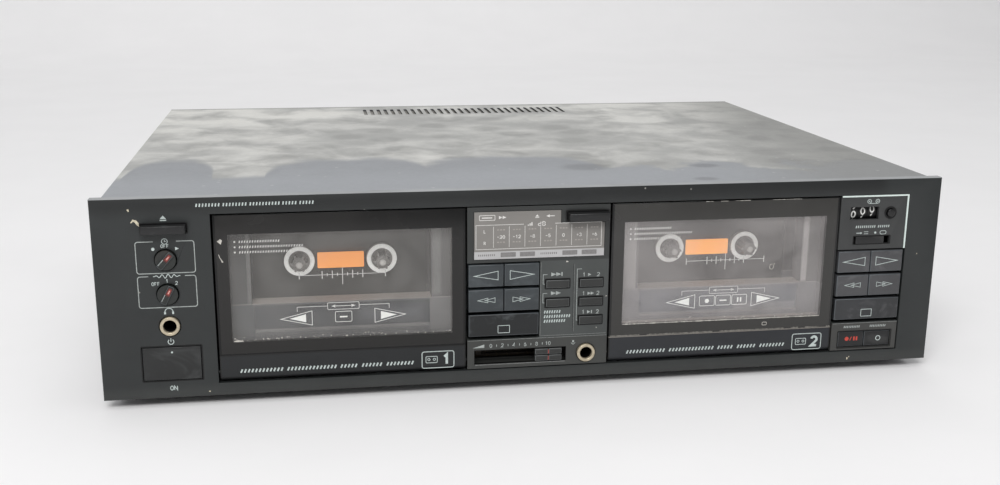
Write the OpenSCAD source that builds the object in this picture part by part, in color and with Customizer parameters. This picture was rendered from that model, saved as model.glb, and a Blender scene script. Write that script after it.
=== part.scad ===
// Double cassette deck: two front-loading cassette wells side by side in a full-width housing.
// X runs to the right, Y from the front to the back, Z up. The modules are drawn from the middle of
// the front panel's lower edge, with Y = 0 on its face. placed() then moves each piece so that the
// origin lies on the floor, under the middle of the whole deck.

/* [Front panel] */
// Width of the front panel
panel_w = 435; // [430:1:460]
// Height of the front panel
panel_h = 101.4; // [99:0.2:112]
// Thickness of the panel face
panel_t = 2.5; // [2:0.1:2.7]
// Depth of the rim round the panel
panel_rim = 5.2; // [4.8:0.1:7]
// Thickness of that rim
rim_t = 2.2; // [1.6:0.1:3]
// Height of the rail under the big opening
bottom_rail = 6.3; // [5.5:0.1:8]
// Distance from the big opening to the line of the controls at its left
control_in = 21.9; // [20:0.1:26]

/* [Housing] */
// Distance by which the panel stands past the cover at each side
cover_inset = 5; // [3.5:0.5:7]
// Distance by which the cover lies below the panel's top edge
cover_drop = 0.4; // [0.2:0.1:1]
// Thickness of the cover's steel sheet
cover_t = 1; // [0.7:0.1:1.3]
// Distance from the panel's face to the back of the cover
body_d = 320.5; // [300:1:360]
// Thickness of the chassis sheet
chassis_t = 1; // [0.8:0.1:1.4]
// Height of the chassis underside over the panel's lower edge
chassis_up = 0.5; // [0.3:0.1:1.2]
// Height of the chassis side flanges
flange_h = 22; // [18:1:40]
// Distance of the rear wall from the back of the cover
rear_in = 1; // [0.5:0.5:3]
// Number of vent slots in the cover
vent_count = 30; // [10:1:36]
// Spacing of the vent slots
vent_pitch = 5; // [4:0.5:6]
// Width of a vent slot
vent_w = 2.4; // [1.6:0.2:3]
// Length of a vent slot
vent_l = 27; // [15:1:40]
// Distance from the back of the cover to the middle of the slots
vent_back = 31; // [26:1:60]

/* [Feet] */
// Height of the panel's lower edge over the floor
foot_h = 5; // [4.5:0.5:20]
// Radius of a foot
foot_r = 20; // [14:1:26]
// Distance of the feet from the middle of the deck
foot_x = 170; // [140:1:180]
// Distance of the front feet from the panel's face
foot_front = 52; // [40:1:80]
// Distance of the rear feet from the back of the cover
foot_back = 48; // [40:1:80]

/* [Cassette doors] */
// Distance between the middles of the two cassette wells
deck_pitch = 198.6; // [197:0.2:205]
// Width of a door
door_w = 123.2; // [121:0.2:124]
// Height of a door
door_h = 85.3; // [84:0.1:86]
// Gap at each side of a door
seam = 0.9; // [0.6:0.1:1.2]
// Gap above and below a door
door_gap = 0.6; // [0.5:0.1:0.9]
// Height of the plain strip at the foot of a door
strip_h = 13.7; // [11:0.1:14.4]
// Thickness of the window plate
lens_t = 2; // [1.5:0.1:2.6]
// Thickness of the door rim behind the window plate
door_rim_t = 4.5; // [3.5:0.1:5]
// Width of the clear part of the window
window_w = 109.6; // [104:0.2:111]
// Height of the clear part of the window
window_h = 55; // [50:0.5:58]
// Height of the clear part over the strip
window_up = 6.8; // [5:0.1:8]
// Radius of the door's rounded lower edge, with the hinge in its middle
pivot_r = 4; // [3.8:0.1:4.4]
// Radius of the hinge pins
pin_r = 1.25; // [1:0.05:1.3]

/* [Cassette holder] */
// Width of the pocket that takes the cassette
pocket_w = 102.4; // [101.4:0.2:104]
// Depth of the pocket from front to back
pocket_d = 12.6; // [12.2:0.1:13]
// Depth of the frame in front of the cassette
holder_d = 10.5; // [9:0.1:11]
// Width of the opening in that frame
holder_open_w = 90; // [84:0.5:94]
// Height of the bar over the foot of the holder
holder_bar_h = 20.7; // [16:0.1:22]
// Height of the holder's foot over the door's lower edge
holder_up = 17.1; // [16.5:0.1:17.4]
// Height of the holder's side channels
channel_h = 60; // [50:1:62]
// Thickness of the walls of the holder
holder_wall = 1.4; // [1.2:0.1:1.8]
// Width of the lips behind the cassette
lip_w = 6.6; // [4:0.2:8]

/* [Transport] */
// Distance between the two spindles of a well
hub_pitch = 42.5; // [42:0.1:43]
// Height of the spindles over the door's lower edge
hub_up = 53.4; // [52:0.1:54]
// Gap between the closed holder and the transport plate
plate_gap = 1; // [0.6:0.1:2]
// Thickness of the transport plate
plate_t = 2; // [1.6:0.1:2.4]
// Height of the transport plate over the doors' upper edge
plate_over = 2.6; // [1:0.1:3.5]
// Width of the transport plate
plate_w = 116; // [112:1:118]
// Radius of the reel table
table_r = 7.85; // [7:0.05:8.5]
// Radius of the spindle's hub over its splines
hub_r = 4.4; // [4.2:0.1:4.6]
// Length of the spindle in front of the transport plate
spindle_l = 13; // [12:0.2:13.4]
// Distance between the two capstans of a well
capstan_pitch = 53; // [52.6:0.2:55]
// Height of the capstans over the door's lower edge
capstan_up = 27.8; // [27.4:0.1:28.6]
// Radius of a capstan
capstan_r = 1.25; // [1:0.05:1.5]
// Radius of a flywheel
flywheel_r = 24; // [22:0.5:24.5]
// Thickness of a flywheel
flywheel_t = 8; // [7:0.5:9]
// Radius of the motor pulley
pulley_r = 5; // [4:0.1:5.6]
// Radius of the motor
motor_r = 15; // [12:0.5:16]
// Length of the motor
motor_l = 24; // [18:1:34]
// Thickness of the drive belt
belt_t = 0.8; // [0.6:0.1:1.2]
// Width of the drive belt
belt_w = 3.6; // [3:0.1:4.4]
// Lift of the head block when a tape plays
head_lift = 5; // [4:0.1:5.2]
// Radius of a pinch roller
roller_r = 5; // [4.4:0.1:5.2]

/* [Keys] */
// Height of a transport key
key_h = 11.6; // [10:0.1:12.4]
// Spacing of the rows of transport keys
key_pitch = 13.2; // [13:0.1:13.6]
// Width of a block of transport keys
key_field_w = 36.4; // [34:0.1:36.6]
// Gap between the two keys of a row
key_gap = 0.45; // [0.3:0.05:0.8]
// Height of the lowest key over the door's lower edge
keys_up = 17.6; // [17:0.1:18.4]
// Distance by which the keys stand in front of the panel
key_out = 0.3; // [0:0.1:1]
// Travel of a transport key
key_travel = 1.5; // [0.8:0.1:2]
// Width of a small function button
button_w = 12; // [9:0.1:12.6]
// Height of a small function button
button_h = 4.1; // [3:0.1:5]
// Spacing of the rows of function buttons
button_pitch = 10.05; // [9:0.05:10.6]
// Distance by which the small buttons stand in front of the panel
button_out = 0.4; // [0:0.1:1]
// Travel of a function button
button_travel = 1.2; // [0.6:0.1:1.6]
// Width of an eject button
eject_w = 21; // [16:0.2:21.4]
// Height of an eject button
eject_h = 4.2; // [3:0.1:4.6]
// Distance by which an eject button stands out
eject_out = 5; // [3.6:0.2:7]
// Travel of an eject button
eject_travel = 3; // [2:0.1:3.4]
// Width of the power button
power_w = 28; // [22:0.2:30]
// Height of the power button
power_h = 17; // [12:0.2:18]
// Travel of the power button
power_travel = 3.5; // [2:0.1:4]

/* [Layout] */
// Distance from the doors' upper edge to an eject button
eject_down = 3.6; // [3:0.1:5]
// Distance from the centre panel's right edge to its eject button
eject_in = 1.2; // [0.9:0.1:3]
// Height of the timer knob over the doors' lower edge
timer_up = 64; // [62:0.1:66]
// Height of the noise reduction knob over the doors' lower edge
noise_up = 46.7; // [45:0.1:47]
// Height of the headphone socket over the doors' lower edge
phones_up = 30.4; // [30:0.1:32]
// Height of the power button's middle over the doors' lower edge
power_up = 11.1; // [10:0.1:12]
// Height of the microphone socket and the level sliders over the doors' lower edge
mic_up = 6.2; // [6:0.1:7]
// Distance from the centre panel's right edge to the microphone socket
mic_in = 11.2; // [11:0.1:13]
// Distance from the centre panel's left edge to the level slot
slot_in = 3.7; // [3.2:0.1:5]
// Distance from the right end of the level slot to the sliders at rest
slider_in = 2.3; // [0.5:0.1:12]
// Distance from the function panel's left edge to its first column of buttons
column_in = 9.2; // [8:0.1:9.4]
// Distance between the two columns of function buttons
column_pitch = 17.6; // [15:0.1:18]
// Height of the top function button over the doors' lower edge
buttons_up = 44.1; // [42:0.1:50]
// Height of the recording keys over the doors' lower edge
record_up = 1.9; // [1.9:0.1:3]
// Height of a recording key
record_h = 8.3; // [6:0.1:9]
// Distance from the right panel's left edge to the recording keys
record_in = 4.4; // [4:0.1:6]
// Distance from the recording keys to the right panel's right edge
record_out = 3.6; // [3.5:0.1:5]
// Distance from the right panel's left edge to the counter's middle
counter_in = 13.7; // [12:0.1:14]
// Height of the counter over the doors' lower edge
counter_up = 76.1; // [75:0.1:76.6]
// Distance from the right panel's right edge to the reset button
reset_in = 9.4; // [8:0.1:9.6]
// Distance from the right panel's left edge to the reverse mode slot
mode_in = 8.6; // [4:0.1:10]
// Height of the reverse mode slider over the doors' lower edge
mode_up = 61.5; // [60.5:0.1:63]
// Distance of the first line socket from the middle of the deck
line_x = 70; // [40:1:120]
// Height of the lower line sockets over the panel's lower edge
line_z = 44; // [30:1:50]
// Distance of the cord bush from the middle of the deck
cord_x = 150; // [120:1:180]
// Height of the cord bush over the panel's lower edge
cord_z = 30; // [20:1:60]

/* [Controls] */
// Radius of a rotary knob
knob_r = 4.9; // [4:0.1:5.4]
// Distance by which a rotary knob stands out
knob_out = 2.4; // [1:0.1:4]
// Radius of a rotary switch spindle
knob_shaft_r = 3; // [2:0.1:3.2]
// Turn of the timer knob at rest, clockwise from upright
timer_turn = 42; // [-42:1:42]
// Turn of the noise reduction knob at rest, clockwise from upright
noise_turn = 28; // [-42:1:42]
// Length of a level slider's cap
slider_l = 14; // [10:0.5:16]
// Height of a level slider's cap
slider_h = 3; // [2.4:0.1:3.2]
// Width of the slot for the level sliders
slot_w = 48; // [44:0.5:50]
// Radius of a counter wheel
wheel_r = 7.2; // [6:0.1:7.4]
// Width of a counter wheel
wheel_w = 4.9; // [4.4:0.1:5.1]
// Spacing of the counter wheels
wheel_pitch = 5.2; // [5.15:0.05:5.4]
// Radius of the counter's axle
wheel_axle_r = 1.5; // [1:0.1:2]
// Radius of the counter's reset button
reset_r = 2.2; // [1.6:0.1:2.3]
// Length of the reverse mode slider
mode_l = 16; // [12:0.2:17]
// Travel of the reverse mode slider
mode_travel = 3.2; // [2:0.1:3.6]

/* [Sockets] */
// Radius of the bore of a headphone or microphone socket
jack_bore_r = 3.2; // [3.1:0.05:3.3]
// Radius of the sleeve round that bore
jack_sleeve_r = 4.8; // [4.4:0.1:5]
// Length of that bore
jack_bore_l = 31; // [25:0.5:34]
// Radius of a line socket's barrel
line_r = 4.15; // [4:0.05:4.3]
// Distance by which a line socket stands out at the back
line_out = 9; // [7:0.2:11]
// Spacing of the line sockets
line_pitch = 18; // [14:0.5:22]
// Radius of the bore of the cord bush
cord_bore_r = 3.6; // [3:0.1:4.2]

/* [Hidden] */
$fn = 48;

// Clearances
turn_gap = 0.05;
slide_gap = 0.3;
rest_gap = 0.3;
tiny = 0.01;

// Colours
panel_black = [0.17, 0.18, 0.19];
cover_grey = [0.33, 0.33, 0.33];
key_grey = [0.2, 0.21, 0.24];
smoke = [0.4, 0.4, 0.4, 0.5];
moulded_grey = [0.3, 0.3, 0.31];
steel = [0.72, 0.73, 0.74];
brass_gold = [0.82, 0.71, 0.45];
board_green = [0.3, 0.4, 0.24];
rubber = [0.1, 0.1, 0.1];
reel_white = [0.86, 0.86, 0.84];

// Places across the front
door_z0 = bottom_rail + door_gap;
door_z1 = door_z0 + door_h;
opening_z1 = door_z1 + door_gap;
opening_x0 = -deck_pitch / 2 - door_w / 2 - seam;
centre_w = deck_pitch - door_w - 2 * seam;
right_x0 = deck_pitch / 2 + door_w / 2 + seam;
key_side = 0.6;
right_w = key_field_w + 2 * key_side;
right_x1 = right_x0 + right_w;
opening_x1 = right_x1 + key_side;
control_x = opening_x0 - control_in;
deck_x = [-deck_pitch / 2, deck_pitch / 2];

// Depths of the inserts that carry the keys
face_y = 0.5;
lower_y = 0.2;
face_t = 2;
wall = 1.5;
ear_t = 3;
back_y = [10, 12];
switch_y = 14;
board_t = 1.6;
front_board_y = 17;
left_board_y = 24;
power_switch_y = 16;
stem = 3;
blade = 1.4;
guide_back = 8;
button_back = guide_back + 1;
lug_in = 4;
lug_h = 3;
groove_floor = 0.8;
board_boss_r = 2.4;
board_boss_in = 2.5;
board_boss_up = 3.2;

// Heights of the inserts
keys_z0 = door_z0 + keys_up;
keys_z1 = keys_z0 + 2 * key_pitch + key_h;
keys_low_gap = 2.1;
keys_top_gap = 0.8;
lower_z1 = keys_z0 - keys_low_gap;
upper_z0 = keys_z1 + keys_top_gap;
function_x0 = -centre_w / 2 + key_field_w + 2 * key_side;

// Places of the controls
eject_z = door_z1 - eject_down - eject_h;
eject_x = [control_x, centre_w / 2 - eject_w / 2 - eject_in];
knob_z = [door_z0 + timer_up, door_z0 + noise_up];
knob_turn = [timer_turn, noise_turn];
phones_z = door_z0 + phones_up;
power_z = door_z0 + power_up;
mic_x = centre_w / 2 - mic_in;
mic_z = door_z0 + mic_up;
slot_x = [-centre_w / 2 + slot_in, -centre_w / 2 + slot_in + slot_w];
slot_gap = 0.5;
slot_z = [mic_z - slider_h - 1.5 * slot_gap, mic_z + slider_h + 1.5 * slot_gap];
slider_x = slot_x[1] - slider_l / 2 - slider_in;
button_x = [function_x0 + column_in, function_x0 + column_in + column_pitch];
button_z = door_z0 + buttons_up;
record_z = door_z0 + record_up + record_h / 2;
record_gap = 0.4;
record_sunk = 0.6;
record_x = [right_x0 + record_in, right_x1 - record_out];
counter_x = right_x0 + counter_in;
counter_z = door_z0 + counter_up;
counter_window_w = 3 * wheel_pitch + slide_gap;
counter_window_h = 6.8;
wheel_gap = 0.6;
counter_y = face_y + face_t + wheel_gap + wheel_r;
counter_cheek_t = 1.4;
wheel_room = 1.4;
reset_x = right_x1 - reset_in;
mode_z = door_z0 + mode_up;
mode_h = 4;
mode_rest = 0.9;
mode_slot_x = [right_x0 + mode_in, right_x0 + mode_in + mode_rest + mode_l + mode_travel + slide_gap];
mode_x = mode_slot_x[0] + mode_rest + mode_l / 2;

// Knobs, sliders and sockets
knob_gap = 0.4;
grip_h = 1;
grip_w = 3;
knob_collar = 2;
knob_seat = 3;
slider_out = 0.6;
mark_w = 0.6;
mark_d = 0.3;
reset_out = 0.8;
reset_step = 1;
reset_travel = 1.5;
sleeve_gap = 0.4;
sleeve_out = 1;
socket_wall = 1.1;
socket_gap = 0.3;
socket_end = 2;

// Display window, and what it leaves free at each side and round the second eject button
display_t = 1.2;
display_out = 0.2;
display_ledge = 1.5;
display_left = 3.5;
display_right = 2.8;
display_low = 1.9;
display_top = 2.5;
display_eject_side = 3.4;
display_eject_low = 1.6;

// Doors and their holders
pivot_y = pivot_r;
pivot_z = door_z0 + pivot_r;
strip_z1 = door_z0 + strip_h;
window_z0 = strip_z1 + window_up;
holder_y0 = lens_t + door_rim_t;
pocket_y0 = holder_y0 + holder_d;
pocket_y1 = pocket_y0 + pocket_d;
holder_z0 = door_z0 + holder_up;
holder_x = pocket_w / 2 + 2 * holder_wall;
holder_past = 1.5;
holder_face_x = max(holder_x, window_w / 2 + holder_past);
lens_seam = 0.4;
holder_over = 4;
ledge_w = 11;
recess_d = 0.8;
recess_side = 1;
recess_low = 2.6;
pin_l = seam + ear_t - slide_gap;

// Transports
hub_z = door_z0 + hub_up;
capstan_z = door_z0 + capstan_up;
plate_y = pocket_y1 + holder_wall + plate_gap;
plate_z = [chassis_up + chassis_t, door_z1 + plate_over];
plate_back = plate_y + plate_t;
table_t = 1.5;
reel_gear_r = 9.5;
reel_gear_t = 2.6;
flywheel_in = 4;
flywheel_gap = 2;
flywheel_rim = 4;
flywheel_y = plate_back + flywheel_in;
bridge_y = flywheel_y + flywheel_t + flywheel_gap;
bridge_t = 2;
bridge_low = 7;
bridge_top = 2;
bearing_gap = 0.5;
bearing_r = 3.5;
post_r = 3;
post_in = 4;
post_up = 12;
post_down = 7;
motor_out = 17.5;
motor_up = 31.3;
motor_x = capstan_pitch / 2 + motor_out;
motor_z = capstan_z + motor_up;
motor_shaft_r = 1;
motor_shaft_l = 7;
pulley_gap = 1;
pulley_l = 5;
belt_y = flywheel_y + (flywheel_t - belt_w) / 2;
belt_gap = 0.2;
head_pin_x = 14;
head_pin_r = 1.5;
head_pin_up = 5;
head_pin_end = 1;
head_plate_t = 1.5;
head_plate_hw = 34;
head_plate_low = 6;
head_plate_top = 9;
head_hw = 7;
head_l = 11;
head_low = 3;
head_top = 4.4;
roller_l = 8;
roller_gap = 1;
roller_pin_r = 1.2;
roller_pin_out = 0.6;
nip_gap = 0.15;
head_z = capstan_z - capstan_r - 2 * roller_r - head_lift - nip_gap;

// Rear wall
rear_y = body_d - rear_in - chassis_t;
cover_top = panel_h - cover_drop;
cover_hw = panel_w / 2 - cover_inset;
chassis_hw = cover_hw - cover_t;
chassis_top = chassis_up + chassis_t;
line_bore_r = 1.6;
line_shoulder = 1;
line_bore_l = 8;
line_body_d = 12;
line_body_gap = 0.4;
line_shoulder_out = 0.5;
cord_bush_l = 14;
cord_bush_t = 2.3;
cord_flange = 5;
cord_gap = 0.1;

// Screws
screw_r = 1.45;
screw_hole_r = 1.5;
screw_clear_r = 1.7;
screw_bite = 1.2;
side_screw_l = 4;
screw_head_r = 2.8;
screw_head_t = 1.8;
post_gap = 1;
post_w = chassis_hw - opening_x1 - post_gap;
post_x = chassis_hw - post_w / 2;
post_screw_low = 6;
post_screw_top = 9;
post_screw_z = [bottom_rail + post_screw_low, panel_h - post_screw_top];
side_screw_in = 61;
side_screw_up = 12;
side_screw_y = [side_screw_in, body_d - side_screw_in];
side_screw_z = chassis_up + side_screw_up;
boss_r = 3.4;
foot_web = 3;
foot_well = 1.2;
foot_taper = 1.5;
frame_screw_in = 8;
frame_screw_x = plate_w / 2 - frame_screw_in;
frame_screw_y = plate_back + frame_screw_in;

// Middle of the whole deck from front to back
middle_y = (body_d - rear_in + line_out - eject_out) / 2;

// A block between two limits along each axis
module block(x, y, z) {
    translate([x[0], y[0], z[0]]) cube([x[1] - x[0], y[1] - y[0], z[1] - z[0]]);
}

// A block across the deck, centred on x and z
module slab(x, z, w, h, y) {
    block([x - w / 2, x + w / 2], y, [z - h / 2, z + h / 2]);
}

// Round bars along each axis
module bar_x(r, x, y, z) {
    translate([x[0], y, z]) rotate([0, 90, 0]) cylinder(r = r, h = x[1] - x[0]);
}

module bar_y(r, x, y, z) {
    translate([x, y[0], z]) rotate([-90, 0, 0]) cylinder(r = r, h = y[1] - y[0]);
}

module bar_z(r, x, y, z) {
    translate([x, y, z[0]]) cylinder(r = r, h = z[1] - z[0]);
}

module placed() {
    translate([0, -middle_y, foot_h]) children();
}

// A rectangular guide behind a panel face, round a button of the given size
module guide(x, z, w, h, y) {
    slab(x, z, w + 2 * slide_gap + 2 * wall, h + 2 * slide_gap + 2 * wall, y);
}

module guide_hole(x, z, w, h, y) {
    slab(x, z, w + 2 * slide_gap, h + 2 * slide_gap, y);
}

// Front panel, a frame round the big opening, with the controls' holes at its left
module front_panel() {
    guide_y = [panel_t - tiny, guide_back];
    hole_y = [-1, guide_back + 1];
    color(panel_black) difference() {
        union() {
            block([-panel_w / 2, panel_w / 2], [0, panel_t], [0, panel_h]);
            difference() {
                block([-panel_w / 2, panel_w / 2], [tiny, panel_rim], [0, panel_h]);
                block([-panel_w / 2 + rim_t, panel_w / 2 - rim_t], [-1, panel_rim + 1],
                    [rim_t, panel_h - rim_t]);
            }
            block([opening_x0 - ear_t, opening_x0], [tiny, pivot_y + pivot_r],
                [door_z0, pivot_z + pivot_r]);
            guide(eject_x[0], eject_z + eject_h / 2, eject_w, eject_h, guide_y);
            guide(control_x, power_z, power_w, power_h, guide_y);
            for (side = [-1, 1], z = post_screw_z)
                bar_y(boss_r, side * post_x, [tiny, panel_rim], z);
        }
        block([opening_x0, opening_x1], [-1, panel_rim + 1], [bottom_rail, opening_z1]);
        guide_hole(eject_x[0], eject_z + eject_h / 2, eject_w, eject_h, hole_y);
        guide_hole(control_x, power_z, power_w, power_h, hole_y);
        for (z = knob_z) bar_y(knob_r + knob_gap, control_x, [-1, panel_t + 1], z);
        bar_y(jack_sleeve_r + sleeve_gap, control_x, [-1, panel_t + 1], phones_z);
        bar_x(pin_r + turn_gap, [opening_x0 - ear_t - 1, opening_x0 + 1], pivot_y, pivot_z);
        for (side = [-1, 1], z = post_screw_z)
            bar_y(screw_hole_r, side * post_x, [panel_t - screw_bite, panel_rim + 1], z);
    }
}

// The walls that every insert between the doors has: a rear plate, shelves and the two faces
module insert_walls(x) {
    lower_side = [door_z0, lower_z1];
    upper_side = [upper_z0, door_z1];
    block(x, back_y, [door_z0, door_z1]);
    block(x, [face_y, face_y + face_t], upper_side);
    block(x, [lower_y, lower_y + face_t], lower_side);
    block(x, [face_y, back_y[1]], [door_z1 - wall, door_z1]);
    block(x, [face_y, back_y[1]], [upper_z0, upper_z0 + wall]);
    block(x, [lower_y, back_y[1]], [lower_z1 - wall, lower_z1]);
    block(x, [lower_y, back_y[1]], [door_z0, door_z0 + wall]);
    for (edge = [[x[0], x[0] + ear_t], [x[1] - ear_t, x[1]]])
        block(edge, [lower_y, back_y[1]], lower_side);
    for (edge = [[x[0], x[0] + wall], [x[1] - wall, x[1]]])
        block(edge, [face_y, back_y[1]], upper_side);
    block([x[0] + lug_in, x[1] - lug_in], [panel_t, panel_t + wall], [door_z1 - wall, opening_z1 + lug_h]);
    block([x[0] + lug_in, x[1] - lug_in], [panel_t, panel_t + wall], [bottom_rail - lug_h, door_z0 + wall]);
    for (cx = [x[0] + board_boss_in, x[1] - board_boss_in],
        cz = [door_z0 + board_boss_up, door_z1 - board_boss_up])
        bar_y(board_boss_r, cx, [back_y[0] + tiny, front_board_y], cz);
}

// The stem holes of one block of five transport keys
module key_stem_holes(x0) {
    for (k = [0:4]) stem_hole(key_x(x0, k), key_z(k));
}

module stem_hole(x, z) {
    slab(x, z, stem + 2 * slide_gap, stem + 2 * slide_gap, [back_y[0] - 1, back_y[1] + 1]);
}

// Centre panel, with the display, one block of keys, the function buttons and the level sliders
module centre_panel() {
    x = [-centre_w / 2, centre_w / 2];
    function_z = [lower_z1 - wall, upper_z0 + wall];
    color(panel_black) difference() {
        union() {
            insert_walls(x);
            block([function_x0, x[1]], [face_y, face_y + face_t], [lower_z1 - tiny, upper_z0 + wall]);
            block([function_x0, function_x0 + wall], [face_y, back_y[1]], function_z);
            block([x[1] - wall, x[1]], [face_y, back_y[1]], function_z);
        }
        display_plate(lens_seam / 2, [-1, face_y - display_out + display_t]);
        display_plate(-display_ledge, [-1, face_y + face_t + 1]);
        guide_hole(eject_x[1], eject_z + eject_h / 2, eject_w, eject_h, [-1, back_y[1] + 1]);
        key_stem_holes(x[0] + key_side);
        for (b = [0:4]) {
            slab(function_button_x(b), function_button_z(b), button_w + 2 * slide_gap,
                button_h + 2 * slide_gap, [-1, face_y + face_t + 1]);
            stem_hole(function_button_x(b), function_button_z(b));
        }
        block(slot_x, [-1, lower_y + face_t + 1], slot_z);
        block(slot_x, [back_y[0] - 1, back_y[1] + 1], slot_z);
        bar_y(jack_sleeve_r + sleeve_gap, mic_x, [-1, lower_y + face_t + 1], mic_z);
        socket_body_hole(mic_x, mic_z, [lower_y + face_t, back_y[1] + 1]);
        bar_x(pin_r + turn_gap, [x[0] - 1, x[0] + ear_t + tiny], pivot_y, pivot_z);
        bar_x(pin_r + turn_gap, [x[1] - ear_t - tiny, x[1] + 1], pivot_y, pivot_z);
    }
}

// Right panel, with the tape counter, the second block of keys and the recording keys
module right_panel() {
    x = [right_x0, right_x1];
    cheek_in = counter_window_w / 2 + wheel_gap;
    color(panel_black) {
        difference() {
            union() {
                insert_walls(x);
                for (side = [-1, 1])
                    block(span(counter_x, side, cheek_in, cheek_in + counter_cheek_t), [face_y, back_y[1]],
                        [counter_z - 2 * wheel_axle_r, door_z1]);
            }
            slab(counter_x, counter_z, counter_window_w, counter_window_h, [-1, face_y + face_t + 1]);
            slab(counter_x, counter_z, 2 * cheek_in, 2 * wheel_r + wheel_room,
                [back_y[0] - 1, back_y[1] + 1]);
            bar_y(reset_r + slide_gap, reset_x, [-1, back_y[1] + 1], counter_z);
            block(mode_slot_x, [-1, face_y + face_t + 1],
                [mode_z - mode_h / 2 - slide_gap, mode_z + mode_h / 2 + slide_gap]);
            block(mode_slot_x, [back_y[0] - 1, back_y[1] + 1],
                [mode_z - mode_h / 2 - slide_gap, mode_z + mode_h / 2 + slide_gap]);
            key_stem_holes(x[0] + key_side);
            block([record_x[0] - record_gap, record_x[1] + record_gap], [-1, lower_y + face_t + 1],
                [record_z - record_h / 2 - record_gap, record_z + record_h / 2 + record_gap]);
            for (k = [0:1]) stem_hole(record_key_x(k), record_z);
            bar_x(pin_r + turn_gap, [x[0] - 1, x[0] + ear_t + tiny], pivot_y, pivot_z);
        }
        bar_x(wheel_axle_r, [counter_x - cheek_in - tiny, counter_x + cheek_in + tiny],
            counter_y, counter_z);
    }
}

// Top cover, one steel sheet folded over the top and both sides, slotted near its back
module top_cover() {
    slot_y = body_d - vent_back;
    half_l = (vent_l - vent_w) / 2;
    sheet_z = [cover_top - cover_t - 1, cover_top + 1];
    color(cover_grey) difference() {
        union() {
            block([-cover_hw, cover_hw], [panel_rim, body_d], [cover_top - cover_t, cover_top]);
            for (x = [[-cover_hw, -cover_hw + cover_t], [cover_hw - cover_t, cover_hw]])
                block(x, [panel_rim, body_d], [chassis_up, cover_top]);
        }
        for (i = [0:vent_count - 1]) {
            x = (i - (vent_count - 1) / 2) * vent_pitch;
            block([x - vent_w / 2, x + vent_w / 2], [slot_y - half_l, slot_y + half_l], sheet_z);
            for (end = [-1, 1]) bar_z(vent_w / 2, x, slot_y + end * half_l, sheet_z);
        }
        for (y = side_screw_y)
            bar_x(screw_clear_r, [-cover_hw - 1, cover_hw + 1], y, side_screw_z);
    }
}

// Chassis, a folded tray with front posts for the panel and a full rear wall
module chassis() {
    front_y = [panel_rim, panel_rim + chassis_t];
    bottom_z = [chassis_up - 1, chassis_top + 1];
    wall_y = [rear_y - 1, rear_y + chassis_t + 1];
    color(steel) difference() {
        union() {
            block([-chassis_hw, chassis_hw], [panel_rim, rear_y + chassis_t], [chassis_up, chassis_top]);
            for (x = [[-chassis_hw, -chassis_hw + chassis_t], [chassis_hw - chassis_t, chassis_hw]])
                block(x, [panel_rim, rear_y + chassis_t], [chassis_up, chassis_up + flange_h]);
            block([-chassis_hw, chassis_hw], [rear_y, rear_y + chassis_t],
                [chassis_up, cover_top - cover_t]);
            block([-chassis_hw, chassis_hw], front_y, [chassis_up, bottom_rail - door_gap]);
            for (side = [-1, 1])
                block(span(0, side, post_x - post_w / 2, chassis_hw), front_y,
                    [chassis_up, cover_top - cover_t]);
        }
        for (side = [-1, 1], z = post_screw_z)
            bar_y(screw_clear_r, side * post_x, [panel_rim - 1, panel_rim + chassis_t + 1], z);
        for (y = side_screw_y)
            bar_x(screw_hole_r, [-chassis_hw - 1, chassis_hw + 1], y, side_screw_z);
        for (p = foot_places) bar_z(screw_hole_r, p[0], p[1], bottom_z);
        for (x = deck_x, side = [-1, 1])
            bar_z(screw_hole_r, x + side * frame_screw_x, frame_screw_y, bottom_z);
        for (i = [0:3])
            bar_y(line_r + line_shoulder + slide_gap, line_place(i)[0], wall_y, line_place(i)[1]);
        bar_y(cord_bore_r + cord_bush_t + cord_gap, -cord_x, wall_y, cord_z);
    }
}

foot_places = [
    for (x = [-foot_x, foot_x], y = [foot_front, body_d - foot_back]) [x, y]
];

// Four round feet, each hollow below for its screw
module feet() {
    color(rubber) for (p = foot_places) translate([p[0], p[1], -foot_h]) difference() {
        union() {
            cylinder(r1 = foot_r - foot_taper, r2 = foot_r, h = 2 * foot_taper);
            translate([0, 0, 2 * foot_taper - tiny])
                cylinder(r = foot_r, h = foot_h + chassis_up - 2 * foot_taper + tiny);
        }
        translate([0, 0, -1]) cylinder(r = screw_head_r + foot_well, h = foot_h + chassis_up - foot_web + 1);
        cylinder(r = screw_hole_r, h = foot_h + chassis_up + 1);
    }
}

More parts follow.
